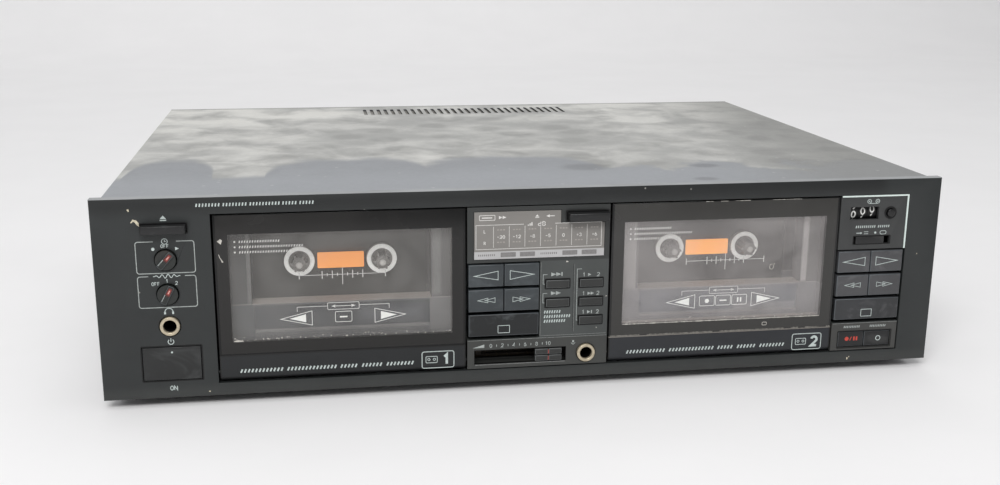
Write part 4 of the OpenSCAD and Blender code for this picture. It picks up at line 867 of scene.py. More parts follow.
def grid_quads(rows: int, columns: int, wrap_rows: bool, wrap_columns: bool) -> np.ndarray:
    """Number the corners of every cell of a grid of points.

    Args:
        rows: How many rows of points there are.
        columns: How many points a row has.
        wrap_rows: Whether the last row joins the first.
        wrap_columns: Whether a row's last point joins its first.

    Returns:
        One row of four point numbers for each cell.
    """
    row = np.arange(rows if wrap_rows else rows - 1)[:, None]
    column = np.arange(columns if wrap_columns else columns - 1)[None, :]
    next_row = (row + 1) % rows
    next_column = (column + 1) % columns
    corners = [row * columns + column, row * columns + next_column,
               next_row * columns + next_column, next_row * columns + column]
    return np.stack(corners, -1).reshape(-1, 4)


def arc(x: float, z: float, radius_x: float, radius_z: float, start: float, end: float,
        steps: int = 14) -> np.ndarray:
    """Return points along an ellipse about (x, z), from one angle in degrees to another."""
    angle = np.radians(np.linspace(start, end, steps))
    return np.stack([x + radius_x * np.cos(angle), z + radius_z * np.sin(angle)], 1)


def line(*points: Pair) -> np.ndarray:
    """Return a path through points."""
    return np.array(points, float)


def rounded_box(x: Pair, z: Pair, radius: float) -> np.ndarray:
    """Return the outline of a box with round corners, counter-clockwise from the bottom left.

    Args:
        x: The box's left and right sides.
        z: Its bottom and top.
        radius: The radius of its corners.

    Returns:
        The points, so many to each corner.
    """
    corners = [(x[0] + radius, z[0] + radius, 180), (x[1] - radius, z[0] + radius, 270),
               (x[1] - radius, z[1] - radius, 0), (x[0] + radius, z[1] - radius, 90)]
    return np.concatenate([arc(*middle, radius, radius, start, start + 90, CORNER_STEPS)
                           for *middle, start in corners])


def stroke_figures() -> dict[str, list[np.ndarray]]:
    """Draw figures and letters as single strokes in a box 0.6 wide and 1 high.

    Returns:
        The strokes of each sign.
    """
    ring = arc(0.3, 0.5, 0.3, 0.5, 90, 450, 24)
    six = [arc(0.62, 0.36, 0.62, 0.64, 108, 184, 8), arc(0.3, 0.3, 0.3, 0.3, 90, 450, 20)]
    dash = line((0.06, 0.5), (0.54, 0.5))
    return {
        "0": [ring],
        "1": [line((0.1, 0.78), (0.34, 1.0), (0.34, 0.0))],
        "2": [np.concatenate([arc(0.3, 0.7, 0.3, 0.3, 165, -30), line((0.0, 0.0), (0.6, 0.0))])],
        "3": [arc(0.28, 0.75, 0.27, 0.25, 150, -90), arc(0.28, 0.25, 0.32, 0.25, 90, -150)],
        "4": [line((0.45, 0.0), (0.45, 1.0), (0.0, 0.3), (0.62, 0.3))],
        "5": [np.concatenate([line((0.55, 1.0), (0.1, 1.0), (0.06, 0.56)),
                              arc(0.28, 0.32, 0.31, 0.32, 125, -150)])],
        "6": six,
        "7": [line((0.0, 1.0), (0.6, 1.0), (0.2, 0.0))],
        "8": [arc(0.3, 0.75, 0.24, 0.25, 90, 450, 20), arc(0.3, 0.25, 0.3, 0.25, 90, 450, 20)],
        "9": [line((0.6, 1.0)) - path for path in six],
        "-": [dash],
        "+": [dash, line((0.3, 0.2), (0.3, 0.8))],
        "O": [ring],
        "N": [line((0.0, 0.0), (0.0, 1.0), (0.6, 0.0), (0.6, 1.0))],
        "F": [line((0.56, 1.0), (0.05, 1.0), (0.05, 0.0)), line((0.05, 0.52), (0.46, 0.52))],
        "L": [line((0.05, 1.0), (0.05, 0.0), (0.55, 0.0))],
        "R": [np.concatenate([line((0.05, 0.0), (0.05, 1.0)), arc(0.32, 0.76, 0.26, 0.24, 90, -90, 8),
                              line((0.05, 0.52))]), line((0.3, 0.52), (0.58, 0.0))],
        "d": [arc(0.27, 0.3, 0.25, 0.3, 0, 360, 18), line((0.54, 1.0), (0.54, 0.0))],
        "B": [np.concatenate([line((0.05, 0.0), (0.05, 1.0)), arc(0.3, 0.76, 0.24, 0.24, 90, -90, 8),
                              line((0.05, 0.52))]), np.concatenate([arc(0.3, 0.26, 0.29, 0.26, 90, -90, 8),
                                                                    line((0.05, 0.0))])],
    }


FIGURES = stroke_figures()


@dataclass(frozen=True)
class FlatFace:
    """A face that looks forward, so far behind the panel's face, and the point on it that marks lie about."""

    depth: float
    x: float = 0.0
    z: float = 0.0

    def place(self, points: np.ndarray) -> np.ndarray:
        """Lay points (across, up, out of the face) on the face, in metres."""
        flat = np.stack([self.x + points[:, 0], self.depth - points[:, 2], self.z + points[:, 1]], 1)
        return ORIGIN + flat * MM


@dataclass(frozen=True)
class WheelFace:
    """The rim of a wheel that turns about a level axis; a mark's height runs round the rim."""

    x: float
    depth: float
    z: float
    radius: float
    turn: float

    def place(self, points: np.ndarray) -> np.ndarray:
        """Wrap points round the wheel: up becomes an angle, and out adds to the radius.

        Args:
            points: Points (across, up, out of the rim).

        Returns:
            The points in metres.
        """
        angle = points[:, 1] / self.radius + self.turn
        reach = self.radius + points[:, 2]
        around = [self.x + points[:, 0], self.depth - reach * np.cos(angle), self.z + reach * np.sin(angle)]
        return ORIGIN + np.stack(around, 1) * MM


@dataclass(frozen=True)
class BackFace:
    """A face that looks back, so far behind the panel's face, read from behind."""

    depth: float

    def place(self, points: np.ndarray) -> np.ndarray:
        """Lay points (across, up, out of the face) on the face, in metres; across is to the reader's right."""
        flat = np.stack([-points[:, 0], self.depth + points[:, 2], points[:, 1]], 1)
        return ORIGIN + flat * MM


class Marks:
    """Thin raised prints on one face, gathered into one piece."""

    def __init__(self, face: FlatFace | WheelFace | BackFace, lift: float = PRINT_LIFT) -> None:
        """Start with no marks.

        Args:
            face: The face that they lie on.
            lift: How far they stand out of it.
        """
        self.face = face
        self.lift = lift
        self.points: list[np.ndarray] = []
        self.faces: list[list[int]] = []
        self.count = 0

    def about(self, node: str) -> "Marks":
        """Lay what follows about the middle of a control.

        Args:
            node: The control's node.

        Returns:
            These marks.
        """
        control = panel_extent(node)
        self.face = replace(self.face, x=control.x, z=control.z)
        return self

    def gather(self, points: np.ndarray, faces: list[list[int]]) -> None:
        """Add one closed shell.

        Args:
            points: Its points (across, up, out of the face).
            faces: The point numbers of each face.
        """
        self.points.append(self.face.place(points))
        self.faces += [[corner + self.count for corner in face] for face in faces]
        self.count += len(points)

    def stroke(self, path: np.ndarray, width: float | np.ndarray) -> "Marks":
        """Carry a flat rectangle along a path, with each section on the mitre of the stretches that meet there.

        Args:
            path: Points in panel millimetres. A path that ends where it starts is closed.
            width: The stroke's width, or its width at each point.

        Returns:
            These marks.
        """
        closed = bool(np.allclose(path[0], path[-1]))
        path = path[:-1] if closed else path
        step = np.roll(path, -1, 0) - path
        ahead = step / np.maximum(np.linalg.norm(step, axis=1, keepdims=True), 1e-9)
        if not closed:
            ahead[-1] = ahead[-2]
        behind = np.roll(ahead, 1, 0)
        if not closed:
            behind[0] = ahead[0]
        left_ahead = np.stack([-ahead[:, 1], ahead[:, 0]], 1)
        left_behind = np.stack([-behind[:, 1], behind[:, 0]], 1)
        turn = np.sum(left_ahead * left_behind, 1, keepdims=True)
        half = np.broadcast_to(np.asarray(width, float).reshape(-1, 1) / 2, (len(path), 1))
        side = (left_ahead + left_behind) / np.maximum(1 + turn, 0.06) * half
        flat = np.stack([path + side, path - side, path - side, path + side], 1)
        height = np.broadcast_to(np.array([self.lift, self.lift, 0.0, 0.0])[:, None], (len(path), 4, 1))
        points = np.concatenate([flat, height], -1).reshape(-1, 3)
        faces = grid_quads(len(path), 4, closed, True).tolist()
        last = 4 * (len(path) - 1)
        faces += [] if closed else [[0, 1, 2, 3], [last + 3, last + 2, last + 1, last]]
        self.gather(points, faces)
        return self

    def fill(self, outline: np.ndarray) -> "Marks":
        """Raise an area: its outline twice, joined by a wall and closed by two faces.

        Args:
            outline: Points round the area.

        Returns:
            These marks.
        """
        count = len(outline)
        ends = [np.full((count, 1), self.lift), np.zeros((count, 1))]
        points = np.concatenate([np.concatenate([outline, end], 1) for end in ends])
        faces = grid_quads(2, count, False, True).tolist()
        ring = np.arange(count)
        faces += [ring[::-1].tolist(), (ring + count).tolist()]
        self.gather(points, faces)
        return self

    def ring(self, x: float, z: float, radius: float, width: float) -> "Marks":
        """Draw a ring."""
        return self.stroke(arc(x, z, radius, radius, 0, 360, 33), width)

    def disc(self, x: float, z: float, radius: float) -> "Marks":
        """Draw a filled disc."""
        return self.fill(arc(x, z, radius, radius, 0, 360, 25)[:-1])

    def box(self, x: Pair, z: Pair, radius: float, width: float) -> "Marks":
        """Draw the outline of a box with round corners."""
        outline = rounded_box(x, z, radius)
        return self.stroke(np.concatenate([outline, outline[:1]]), width)

    def block(self, x: Pair, z: Pair) -> "Marks":
        """Draw a filled box."""
        return self.fill(line((x[0], z[0]), (x[1], z[0]), (x[1], z[1]), (x[0], z[1])))

    def arrow(self, side: float, tip: float, z: float, height: float, width: float = 0.0) -> "Marks":
        """Draw a triangle that points left or right: an outline of a width, or filled."""
        corners = line((side, z - height / 2), (tip, z), (side, z + height / 2))
        return self.stroke(np.concatenate([corners, corners[:1]]), width) if width else self.fill(corners)

    def figures(self, text: str, x: float, z: float, height: float, weight: float = 0.16,
                wide: float = 1.0) -> "Marks":
        """Draw a row of figures about a centre.

        Args:
            text: Characters that stroke_figures() has.
            x: The middle of the row.
            z: The middle of its height.
            height: The height of the figures.
            weight: The stroke's width as a share of the height.
            wide: How much wider than usual the figures are.

        Returns:
            These marks.
        """
        advance = 0.84 * height * wide
        start = x - (advance * (len(text) - 1) + 0.6 * height * wide) / 2
        for place, sign in enumerate(text):
            for path in FIGURES[sign]:
                scaled = path * np.array([height * wide, height])
                self.stroke(scaled + np.array([start + place * advance, z - height / 2]), weight * height)
        return self

    def ticks(self, x: Pair, z: float, height: float, pitch: float, slant: float,
              share: float = 0.5) -> "Marks":
        """Draw a row of slanted ticks.

        Args:
            x: Where the row starts and ends.
            z: The middle of its height.
            height: The height of a tick.
            pitch: The way from one tick to the next.
            slant: How far a tick leans to the right.
            share: The width of a tick as a share of the pitch.

        Returns:
            These marks.
        """
        for left in np.arange(x[0], x[1], pitch):
            self.stroke(line((left, z - height / 2), (left + slant, z + height / 2)), pitch * share)
        return self

    def tick_groups(self, x: Pair, z: float, height: float, pitch: float, slant: float,
                    shares: tuple[float, ...]) -> "Marks":
        """Draw a row of slanted ticks in groups with even gaps between them.

        Args:
            x, z, height, pitch, slant: As in ticks().
            shares: The length of each group as a share of the row's.

        Returns:
            These marks.
        """
        length = x[1] - x[0]
        gap = length * (1 - sum(shares)) / max(len(shares) - 1, 1)
        left = x[0]
        for share in shares:
            self.ticks((left, left + length * share - slant), z, height, pitch, slant, 0.44)
            left += length * share + gap
        return self

    def eject_sign(self, x: float, z: float, size: float) -> "Marks":
        """Draw a triangle over a bar."""
        self.fill(line((x - size / 2, z - size * 0.1), (x + size / 2, z - size * 0.1), (x, z + size * 0.45)))
        return self.block((x - size / 2, x + size / 2), (z - size * 0.42, z - size * 0.24))

    def piece(self, name: str, finish: Finish, body: str = "housing",
              slot: str = "panel_plastic") -> bpy.types.Object:
        """Make the marks one piece, with a name, finish and body as in make_piece()."""
        return make_piece(name, np.concatenate(self.points), self.faces, finish, body)


def on_front(depth: float, x: float = 0.0, lift: float = PRINT_LIFT) -> Marks:
    """Start marks on a face that looks forward, about a place across it."""
    return Marks(FlatFace(depth, x), lift)


def on_control(node: str, lift: float = PRINT_LIFT) -> Marks:
    """Start marks about the middle of a control's front."""
    return on_front(panel_extent(node).front, lift=lift).about(node)


def make_piece(name: str, points: np.ndarray, faces: list[list[int]], finish: Finish, body: str | None,
               smooth: bool = False) -> bpy.types.Object:
    """Put points and faces into a mesh, turn its faces outwards and let it ride on a body.

    Args:
        name: The piece's name.
        points: Its points in metres.
        faces: The point numbers of each face.
        finish: Its finish.
        body: The body that it rides on, or None for the stage.
        smooth: Whether its faces are shaded smooth.

    Returns:
        The new object.
    """
    mesh = bpy.data.meshes.new(name)
    mesh.from_pydata(points.tolist(), [], faces)
    work = bmesh.new()
    work.from_mesh(mesh)
    bmesh.ops.recalc_face_normals(work, faces=work.faces)
    work.to_mesh(mesh)
    work.free()
    mesh.materials.append(finish.material())
    mesh.polygons.foreach_set("use_smooth", np.full(len(mesh.polygons), smooth))
    thing = bpy.data.objects.new(name, mesh)
    bpy.context.scene.collection.objects.link(thing)
    if body:
        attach(thing, body)
        log.info("%s: %d faces, rides on %s", name, len(mesh.polygons), body)
    return thing


def turned_ring(name: str, x: float, z: float, profile: np.ndarray, finish: Finish, body: str,
                steps: int = 64) -> bpy.types.Object:
    """Carry a closed profile round a level axis that runs from front to back.

    Args:
        name, finish, body: As in make_piece().
        x: The axis's place across the panel.
        z: The axis's height.
        profile: Points (radius, depth behind the panel's face) of the ring's section.
        steps: How many sections there are in a turn.

    Returns:
        The new object.
    """
    angle = np.linspace(0, 2 * np.pi, steps, endpoint=False)[:, None]
    radius = profile[None, :, 0]
    depth = np.broadcast_to(profile[None, :, 1], (steps, len(profile)))
    around = np.stack([x + radius * np.cos(angle), depth, z + radius * np.sin(angle)], -1)
    faces = grid_quads(steps, len(profile), True, True).tolist()
    return make_piece(name, ORIGIN + around.reshape(-1, 3) * MM, faces, finish, body, smooth=True)


# Dressing of the solid nodes

def geometry_board(name: str) -> tuple[NodeBoard, Wire, Wire]:
    """Start a group of geometry nodes.

    Args:
        name: The group's name.

    Returns:
        Its board, the mesh that comes in and the socket that it leaves by.
    """
    tree = bpy.data.node_groups.new(name, "GeometryNodeTree")
    for way in ("INPUT", "OUTPUT"):
        tree.interface.new_socket("Geometry", in_out=way, socket_type="NodeSocketGeometry")
    given, out = (tree.nodes.new("NodeGroup" + end) for end in ("Input", "Output"))
    return NodeBoard(tree), given.outputs[0], out.inputs[0]


def sharp_edges(board: NodeBoard) -> Wire:
    """Return whether an edge is bent by more than the sharp angle."""
    angle = board.add("GeometryNodeInputMeshEdgeAngle").outputs["Unsigned Angle"]
    return board.add("FunctionNodeCompare", {"A": angle, "B": SHARP_ANGLE}).outputs[0]


def welded_edges(reach: float) -> Tree:
    """Build the nodes that merge a mesh's seams and mark the sharp edges of its front for rounding.

    Args:
        reach: How far forward, in metres, an edge has to lie.

    Returns:
        The node group.
    """
    board, given, out = geometry_board("welded_edges")
    merge = board.add("GeometryNodeMergeByDistance", {"Geometry": given, "Distance": WELD_REACH})
    position = board.add("GeometryNodeInputPosition").outputs[0]
    forward = board.vector_math("DOT_PRODUCT", position, FRONT)["Value"]
    beyond = board.add("FunctionNodeCompare", {"A": forward, "B": reach}).outputs[0]
    both = board.add("FunctionNodeBooleanMath", {0: beyond, 1: sharp_edges(board)}).outputs[0]
    inputs = {"Geometry": merge.outputs[0], "Name": "bevel_weight_edge", "Value": both}
    board.feed(out, board.add("GeometryNodeStoreNamedAttribute", inputs, domain="EDGE").outputs[0])
    return board.tree


def smooth_shading() -> Tree:
    """Build the nodes that shade a mesh smooth except across sharp edges, on their first use.

    Returns:
        The node group.
    """
    known = bpy.data.node_groups.get("smooth_shading")
    if known:
        return known
    board, given, out = geometry_board("smooth_shading")
    inputs = {"Mesh": given, "Remove Custom": True, "Edge Sharpness": sharp_edges(board)}
    board.feed(out, board.add("GeometryNodeSetMeshNormal", inputs).outputs[0])
    return board.tree


@dataclass(frozen=True)
class Dressing:
    """How a solid node is finished: its finish, and its front's rounded edges with their own finish."""

    finish: Finish
    edge: float = 0.0
    worn: Finish | None = None
    depth: float = 0.05

    def wear(self, node: str) -> None:
        """Dress a node of the frame.

        Args:
            node: The node's name.
        """
        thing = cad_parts[node]
        thing.material_slots[0].material = self.finish.material()
        if self.worn:
            thing.data.materials.append(self.worn.material())
        weld = thing.modifiers.new("weld", "NODES")
        weld.node_group = welded_edges(-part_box(node)[0].y - self.depth * MM)
        if self.edge:
            flat = thing.modifiers.new("flat", "DECIMATE")
            flat.decimate_type = "DISSOLVE"
            flat.angle_limit = math.radians(0.5)
            rounded = thing.modifiers.new("rounded", "BEVEL")
            rounded.limit_method = "WEIGHT"
            rounded.width = self.edge * MM
            rounded.segments = 3
            rounded.use_clamp_overlap = False
            rounded.material = 1 if self.worn else -1
        shade = thing.modifiers.new("shade", "NODES")
        shade.node_group = smooth_shading()
        log.info("%s: dressed in %s", node, self.finish.name)


def recess_frames(name: str, depth: float, bands: dict[str, float]) -> None:
    """Print a dark band round each control as painted shade in its recess.

    Args:
        name: The piece's name.
        depth: How far the face lies behind the panel's face.
        bands: Each control's node and the width of its band.
    """
    marks = on_front(depth)
    for node, width in bands.items():
        control = panel_extent(node)
        reach = CONTROL_GAP + width / 2
        marks.box((control.low[0] - reach, control.high[0] + reach),
                  (control.low[2] - reach, control.high[2] + reach), 0.35, width)
    marks.piece(name, PAINTED_SHADE)


# Sub-assemblies

@dataclass
class Stage:
    """The floor with its backdrop, the light and the camera."""

    focal_mm: float = 41.897
    shift_up: float = 0.00297
    eye: tuple[float, float, float] = (-0.11318, -0.56101, 0.21789)
    yaw: float = -9.4101
    pitch: float = -14.3503
    roll: float = -0.3894
    floor_reach: float = 3.0
    backdrop: float = 1.6
    bend: float = 0.9

    def build(self) -> None:
        """Make the floor, the lamps, the world and the camera."""
        self.floor()
        self.lamp("front_softbox", (-0.5, -1.7, 1.6), (0.0, -0.1, 0.05), (1.5, 0.7), 35.0)
        self.lamp("top_softbox", (0.1, -0.1, 2.3), (0.0, 0.0, 0.0), (2.6, 1.6), 13.0)
        self.lamp("rear_softbox", (-0.4, 1.9, 2.4), (-0.4, 2.1, 0.0), (4.4, 1.2), 9.0, 110.0)
        self.world()
        self.camera()

    def floor(self) -> None:
        """Carry a profile, flat and then bent up in a quarter circle, from left to right."""
        bend = arc(self.backdrop, self.bend, self.bend, self.bend, 270, 360, 24)
        profile = np.concatenate([line((-self.floor_reach, 0.0)), bend, line((self.backdrop + self.bend, 3.0))])
        across = np.linspace(-self.floor_reach, self.floor_reach, 9)[:, None]
        sheet = np.stack(np.broadcast_arrays(across, profile[None, :, 0], profile[None, :, 1]), -1)
        faces = grid_quads(9, len(profile), False, False)[:, ::-1].tolist()
        paper = Moulded("pale_paper", srgb(240, 239, 239), 0.9, grains=600.0, relief=0.02, drift=0.01,
                        smear_gloss=0.0)
        floor = make_piece("floor", sheet.reshape(-1, 3), faces, paper, None, smooth=True)

    @staticmethod
    def lamp(name: str, place: tuple, aim: tuple, size: Pair, power: float, spread: float = 180.0) -> None:
        """Hang a soft lamp.

        Args:
            name: The lamp's name.
            place: Where it hangs.
            aim: The point that it looks at.
            size: Its width and height.
            power: Its power in watts.
            spread: The angle in degrees that it shines within.
        """
        data = bpy.data.lights.new(name, "AREA")
        data.shape = "RECTANGLE"
        data.size, data.size_y = size
        data.energy = power
        data.spread = math.radians(spread)
        lamp = bpy.data.objects.new(name, data)
        turn = mathutils.Vector(np.subtract(aim, place)).to_track_quat("-Z", "Y").to_matrix().to_4x4()
        lamp.matrix_world = mathutils.Matrix.Translation(place) @ turn
        bpy.context.scene.collection.objects.link(lamp)

    def world(self) -> None:
        """Give the room an even pale light."""
        world = bpy.data.worlds.new("room")
        world.use_nodes = True
        sky = world.node_tree.nodes["Background"].inputs
        sky["Color"].default_value = (*srgb(238, 239, 241), 1.0)
        sky["Strength"].default_value = 0.44
        bpy.context.scene.world = world
        bpy.context.scene.view_settings.view_transform = "Standard"

    def camera(self) -> None:
        """Set the camera at its place from the panel's lower edge, turned by yaw, then pitch, then roll."""
        yaw, pitch, roll = (math.radians(angle) for angle in (self.yaw, self.pitch, self.roll))
        turn = (mathutils.Matrix.Rotation(yaw, 4, "Z") @ mathutils.Matrix.Rotation(pitch, 4, "X")
                @ mathutils.Matrix.Rotation(roll, 4, "Y") @ mathutils.Matrix.Rotation(math.pi / 2, 4, "X"))
        data = bpy.data.cameras.new("camera")
        data.lens = self.focal_mm
        data.sensor_width = 36.0
        data.sensor_fit = "HORIZONTAL"
        data.shift_y = self.shift_up
        data.clip_start = 0.01
        camera = bpy.data.objects.new("camera", data)
        camera.matrix_world = mathutils.Matrix.Translation(ORIGIN + np.array(self.eye)) @ turn
        bpy.context.scene.collection.objects.link(camera)
        bpy.context.scene.camera = camera


@dataclass
class Housing:
    """The panel, the cover, the chassis and what is fixed to them."""

    cover_t: float = 1.0
    vent_back: float = 31.0
    vent_half_w: float = 76.0
    vent_half_l: float = 15.0
    lint_t: float = 0.3

    def build(self) -> None:
        """Dress the fixed nodes."""
        Dressing(FASCIA, 0.35).wear("front_panel")
        Dressing(INSERT, 0.15, depth=0.45).wear("centre_panel")
        Dressing(INSERT, 0.15, depth=0.45).wear("right_panel")
        for node, finish in {"top_cover": COVER, "chassis": ZINC, "feet": RUBBER, "circuit_boards": BOARD,
                             "power_transformer": CORE, "drive_belts": RUBBER, "screws": SCREW}.items():
            Dressing(finish).wear(node)
        Dressing(COLLAR, 0.4, depth=0.2).wear("front_sockets")
        self.vent_lint()
        self.rubbed_edges()

    def rubbed_edges(self) -> None:
        """Print light lines as painted highlights on the edges of the inserts and on the lower lip of the
        slider's slot.
        """
        upper = on_front(UPPER_INSERT).stroke(line((1.2, 62.6), (1.2, 23.2), (36.4, 23.2)), 0.22)
        upper.stroke(line((18.75, 24.8), (18.75, 61.2)), 0.2).piece("insert_upper_edge_highlights", EDGE_HIGHLIGHT)
        lower = on_front(LOWER_INSERT).stroke(line((-36.5, 22.2), (36.5, 22.2)), 0.26)
        lower.stroke(line((162.2, 22.2), (199.4, 22.2)), 0.26).stroke(line((-32.8, 8.9), (14.6, 8.9)), 0.3)
        lower.piece("insert_lower_edge_highlights", EDGE_HIGHLIGHT)

    def vent_lint(self) -> None:
        """Lay a mat of lint under the vent slots: a sheet that sags on a cosine and ripples on a sine."""
        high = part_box("top_cover")[1]
        rows, columns = 41, 7
        along = np.linspace(-self.vent_half_w, self.vent_half_w, rows)[:, None]
        across = np.linspace(-self.vent_half_l, self.vent_half_l, columns)[None, :]
        ripple = 1 + 0.4 * np.sin(along * 0.9 + across * 0.4)
        sag = 0.5 * np.cos(along / self.vent_half_w * np.pi / 2) * ripple
        top = high.z / MM - self.cover_t - sag * np.cos(across / self.vent_half_l * np.pi / 2)
        middle = high.y / MM - self.vent_back
        sheet = np.stack(np.broadcast_arrays(along, middle + across, top), -1)
        mat = np.concatenate([sheet, sheet[:, ::-1] - (0.0, 0.0, self.lint_t)], 1).reshape(-1, 3)
        end = np.arange(2 * columns)
        faces = grid_quads(rows, 2 * columns, False, True).tolist()
        faces += [end[::-1].tolist(), (end + len(mat) - len(end)).tolist()]
        make_piece("vent_lint", mat * MM, faces, FILM, "housing", smooth=True)


def holder_zone(x: float, half: float, colour: Colour, rim: float = 0.15, depth: float = THROUGH) -> Zone:
    """Return a zone over the full height of a holder's opening, about the well's middle."""
    return Zone((x, 64.05), (half, 19.35), colour, rim, depth)


@dataclass(frozen=True)
class WellLook:
    """How hazy and worn one tape well looks, with zones of painted light and shade on its holder about the
    well's middle.
    """

    # The hazy film also paints a reflection, most on the milky window.
    haze: float
    film: Colour
    border: Colour
    crown: Colour
    strip: Colour
    gloss: float
    # The seam's finish: painted shade on the first well, lint on the second.
    seam: Finish
    # The label's finish has a painted glow.
    label: Finish
    ledge_share: float
    paint: Colour
    # A lighter tone on the right of the transport frame, as painted light.
    lit_paint: Colour
    zones: tuple[Zone, ...]


# Holder zones paint light and shade: lighter and darker blocks and recess parts, bright bands on inner faces
# and ledge, shade atop the first strip.
CLEAR_WELL = WellLook(
    0.085, srgb(208, 205, 201), srgb(31, 30, 29), srgb(8, 8, 8), srgb(22, 24, 26), 0.38, PAINTED_SHADE, ORANGE_GLOW, 0.0,
    srgb(78, 76, 74), srgb(88, 86, 84), (
        holder_zone(-51.2, 5.6, srgb(62, 61, 61)), holder_zone(-45.8, 1.4, srgb(92, 91, 90), 0.7, 14.0),
        holder_zone(51.2, 5.6, srgb(72, 71, 70)), holder_zone(47.6, 3.4, srgb(104, 103, 102), 2.4),
        Zone((0.0, 36.0), (58.0, 9.1), srgb(84, 84, 85)), Zone((-51.0, 36.0), (7.0, 9.1), srgb(66, 68, 70)),
        Zone((51.0, 36.0), (7.0, 9.1), srgb(102, 101, 101)), Zone((0.0, 36.85), (44.0, 6.85), srgb(54, 56, 60)),
        Zone((24.0, 36.85), (20.0, 6.85), srgb(80, 81, 86), 9.0),
        Zone((0.0, 30.5), (44.0, 1.0), srgb(112, 111, 110), 0.6),
        Zone((0.0, 20.6), (64.0, 0.7), srgb(5, 5, 5), 0.2)))
MILKY_WELL = WellLook(
    0.16, srgb(212, 207, 205), srgb(44, 43, 41), srgb(56, 55, 53), srgb(33, 35, 39), 0.5, FILM, BRIGHT_ORANGE_GLOW,
    0.62, srgb(58, 56, 55), srgb(76, 74, 72), (
        holder_zone(-51.4, 5.2, srgb(139, 136, 134)), holder_zone(51.2, 5.6, srgb(68, 67, 66)),
        holder_zone(46.9, 2.2, srgb(158, 154, 152), 1.3, 14.0),
        Zone((0.0, 36.0), (58.0, 9.1), srgb(124, 122, 124)),
        Zone((51.0, 36.0), (7.0, 9.1), srgb(104, 103, 105)),
        Zone((0.0, 36.85), (44.0, 6.85), srgb(102, 104, 110)),
        Zone((26.0, 32.4), (18.0, 2.6), srgb(132, 131, 133), 1.6),
        Zone((0.0, 30.5), (44.0, 1.0), srgb(138, 136, 137), 0.6)))


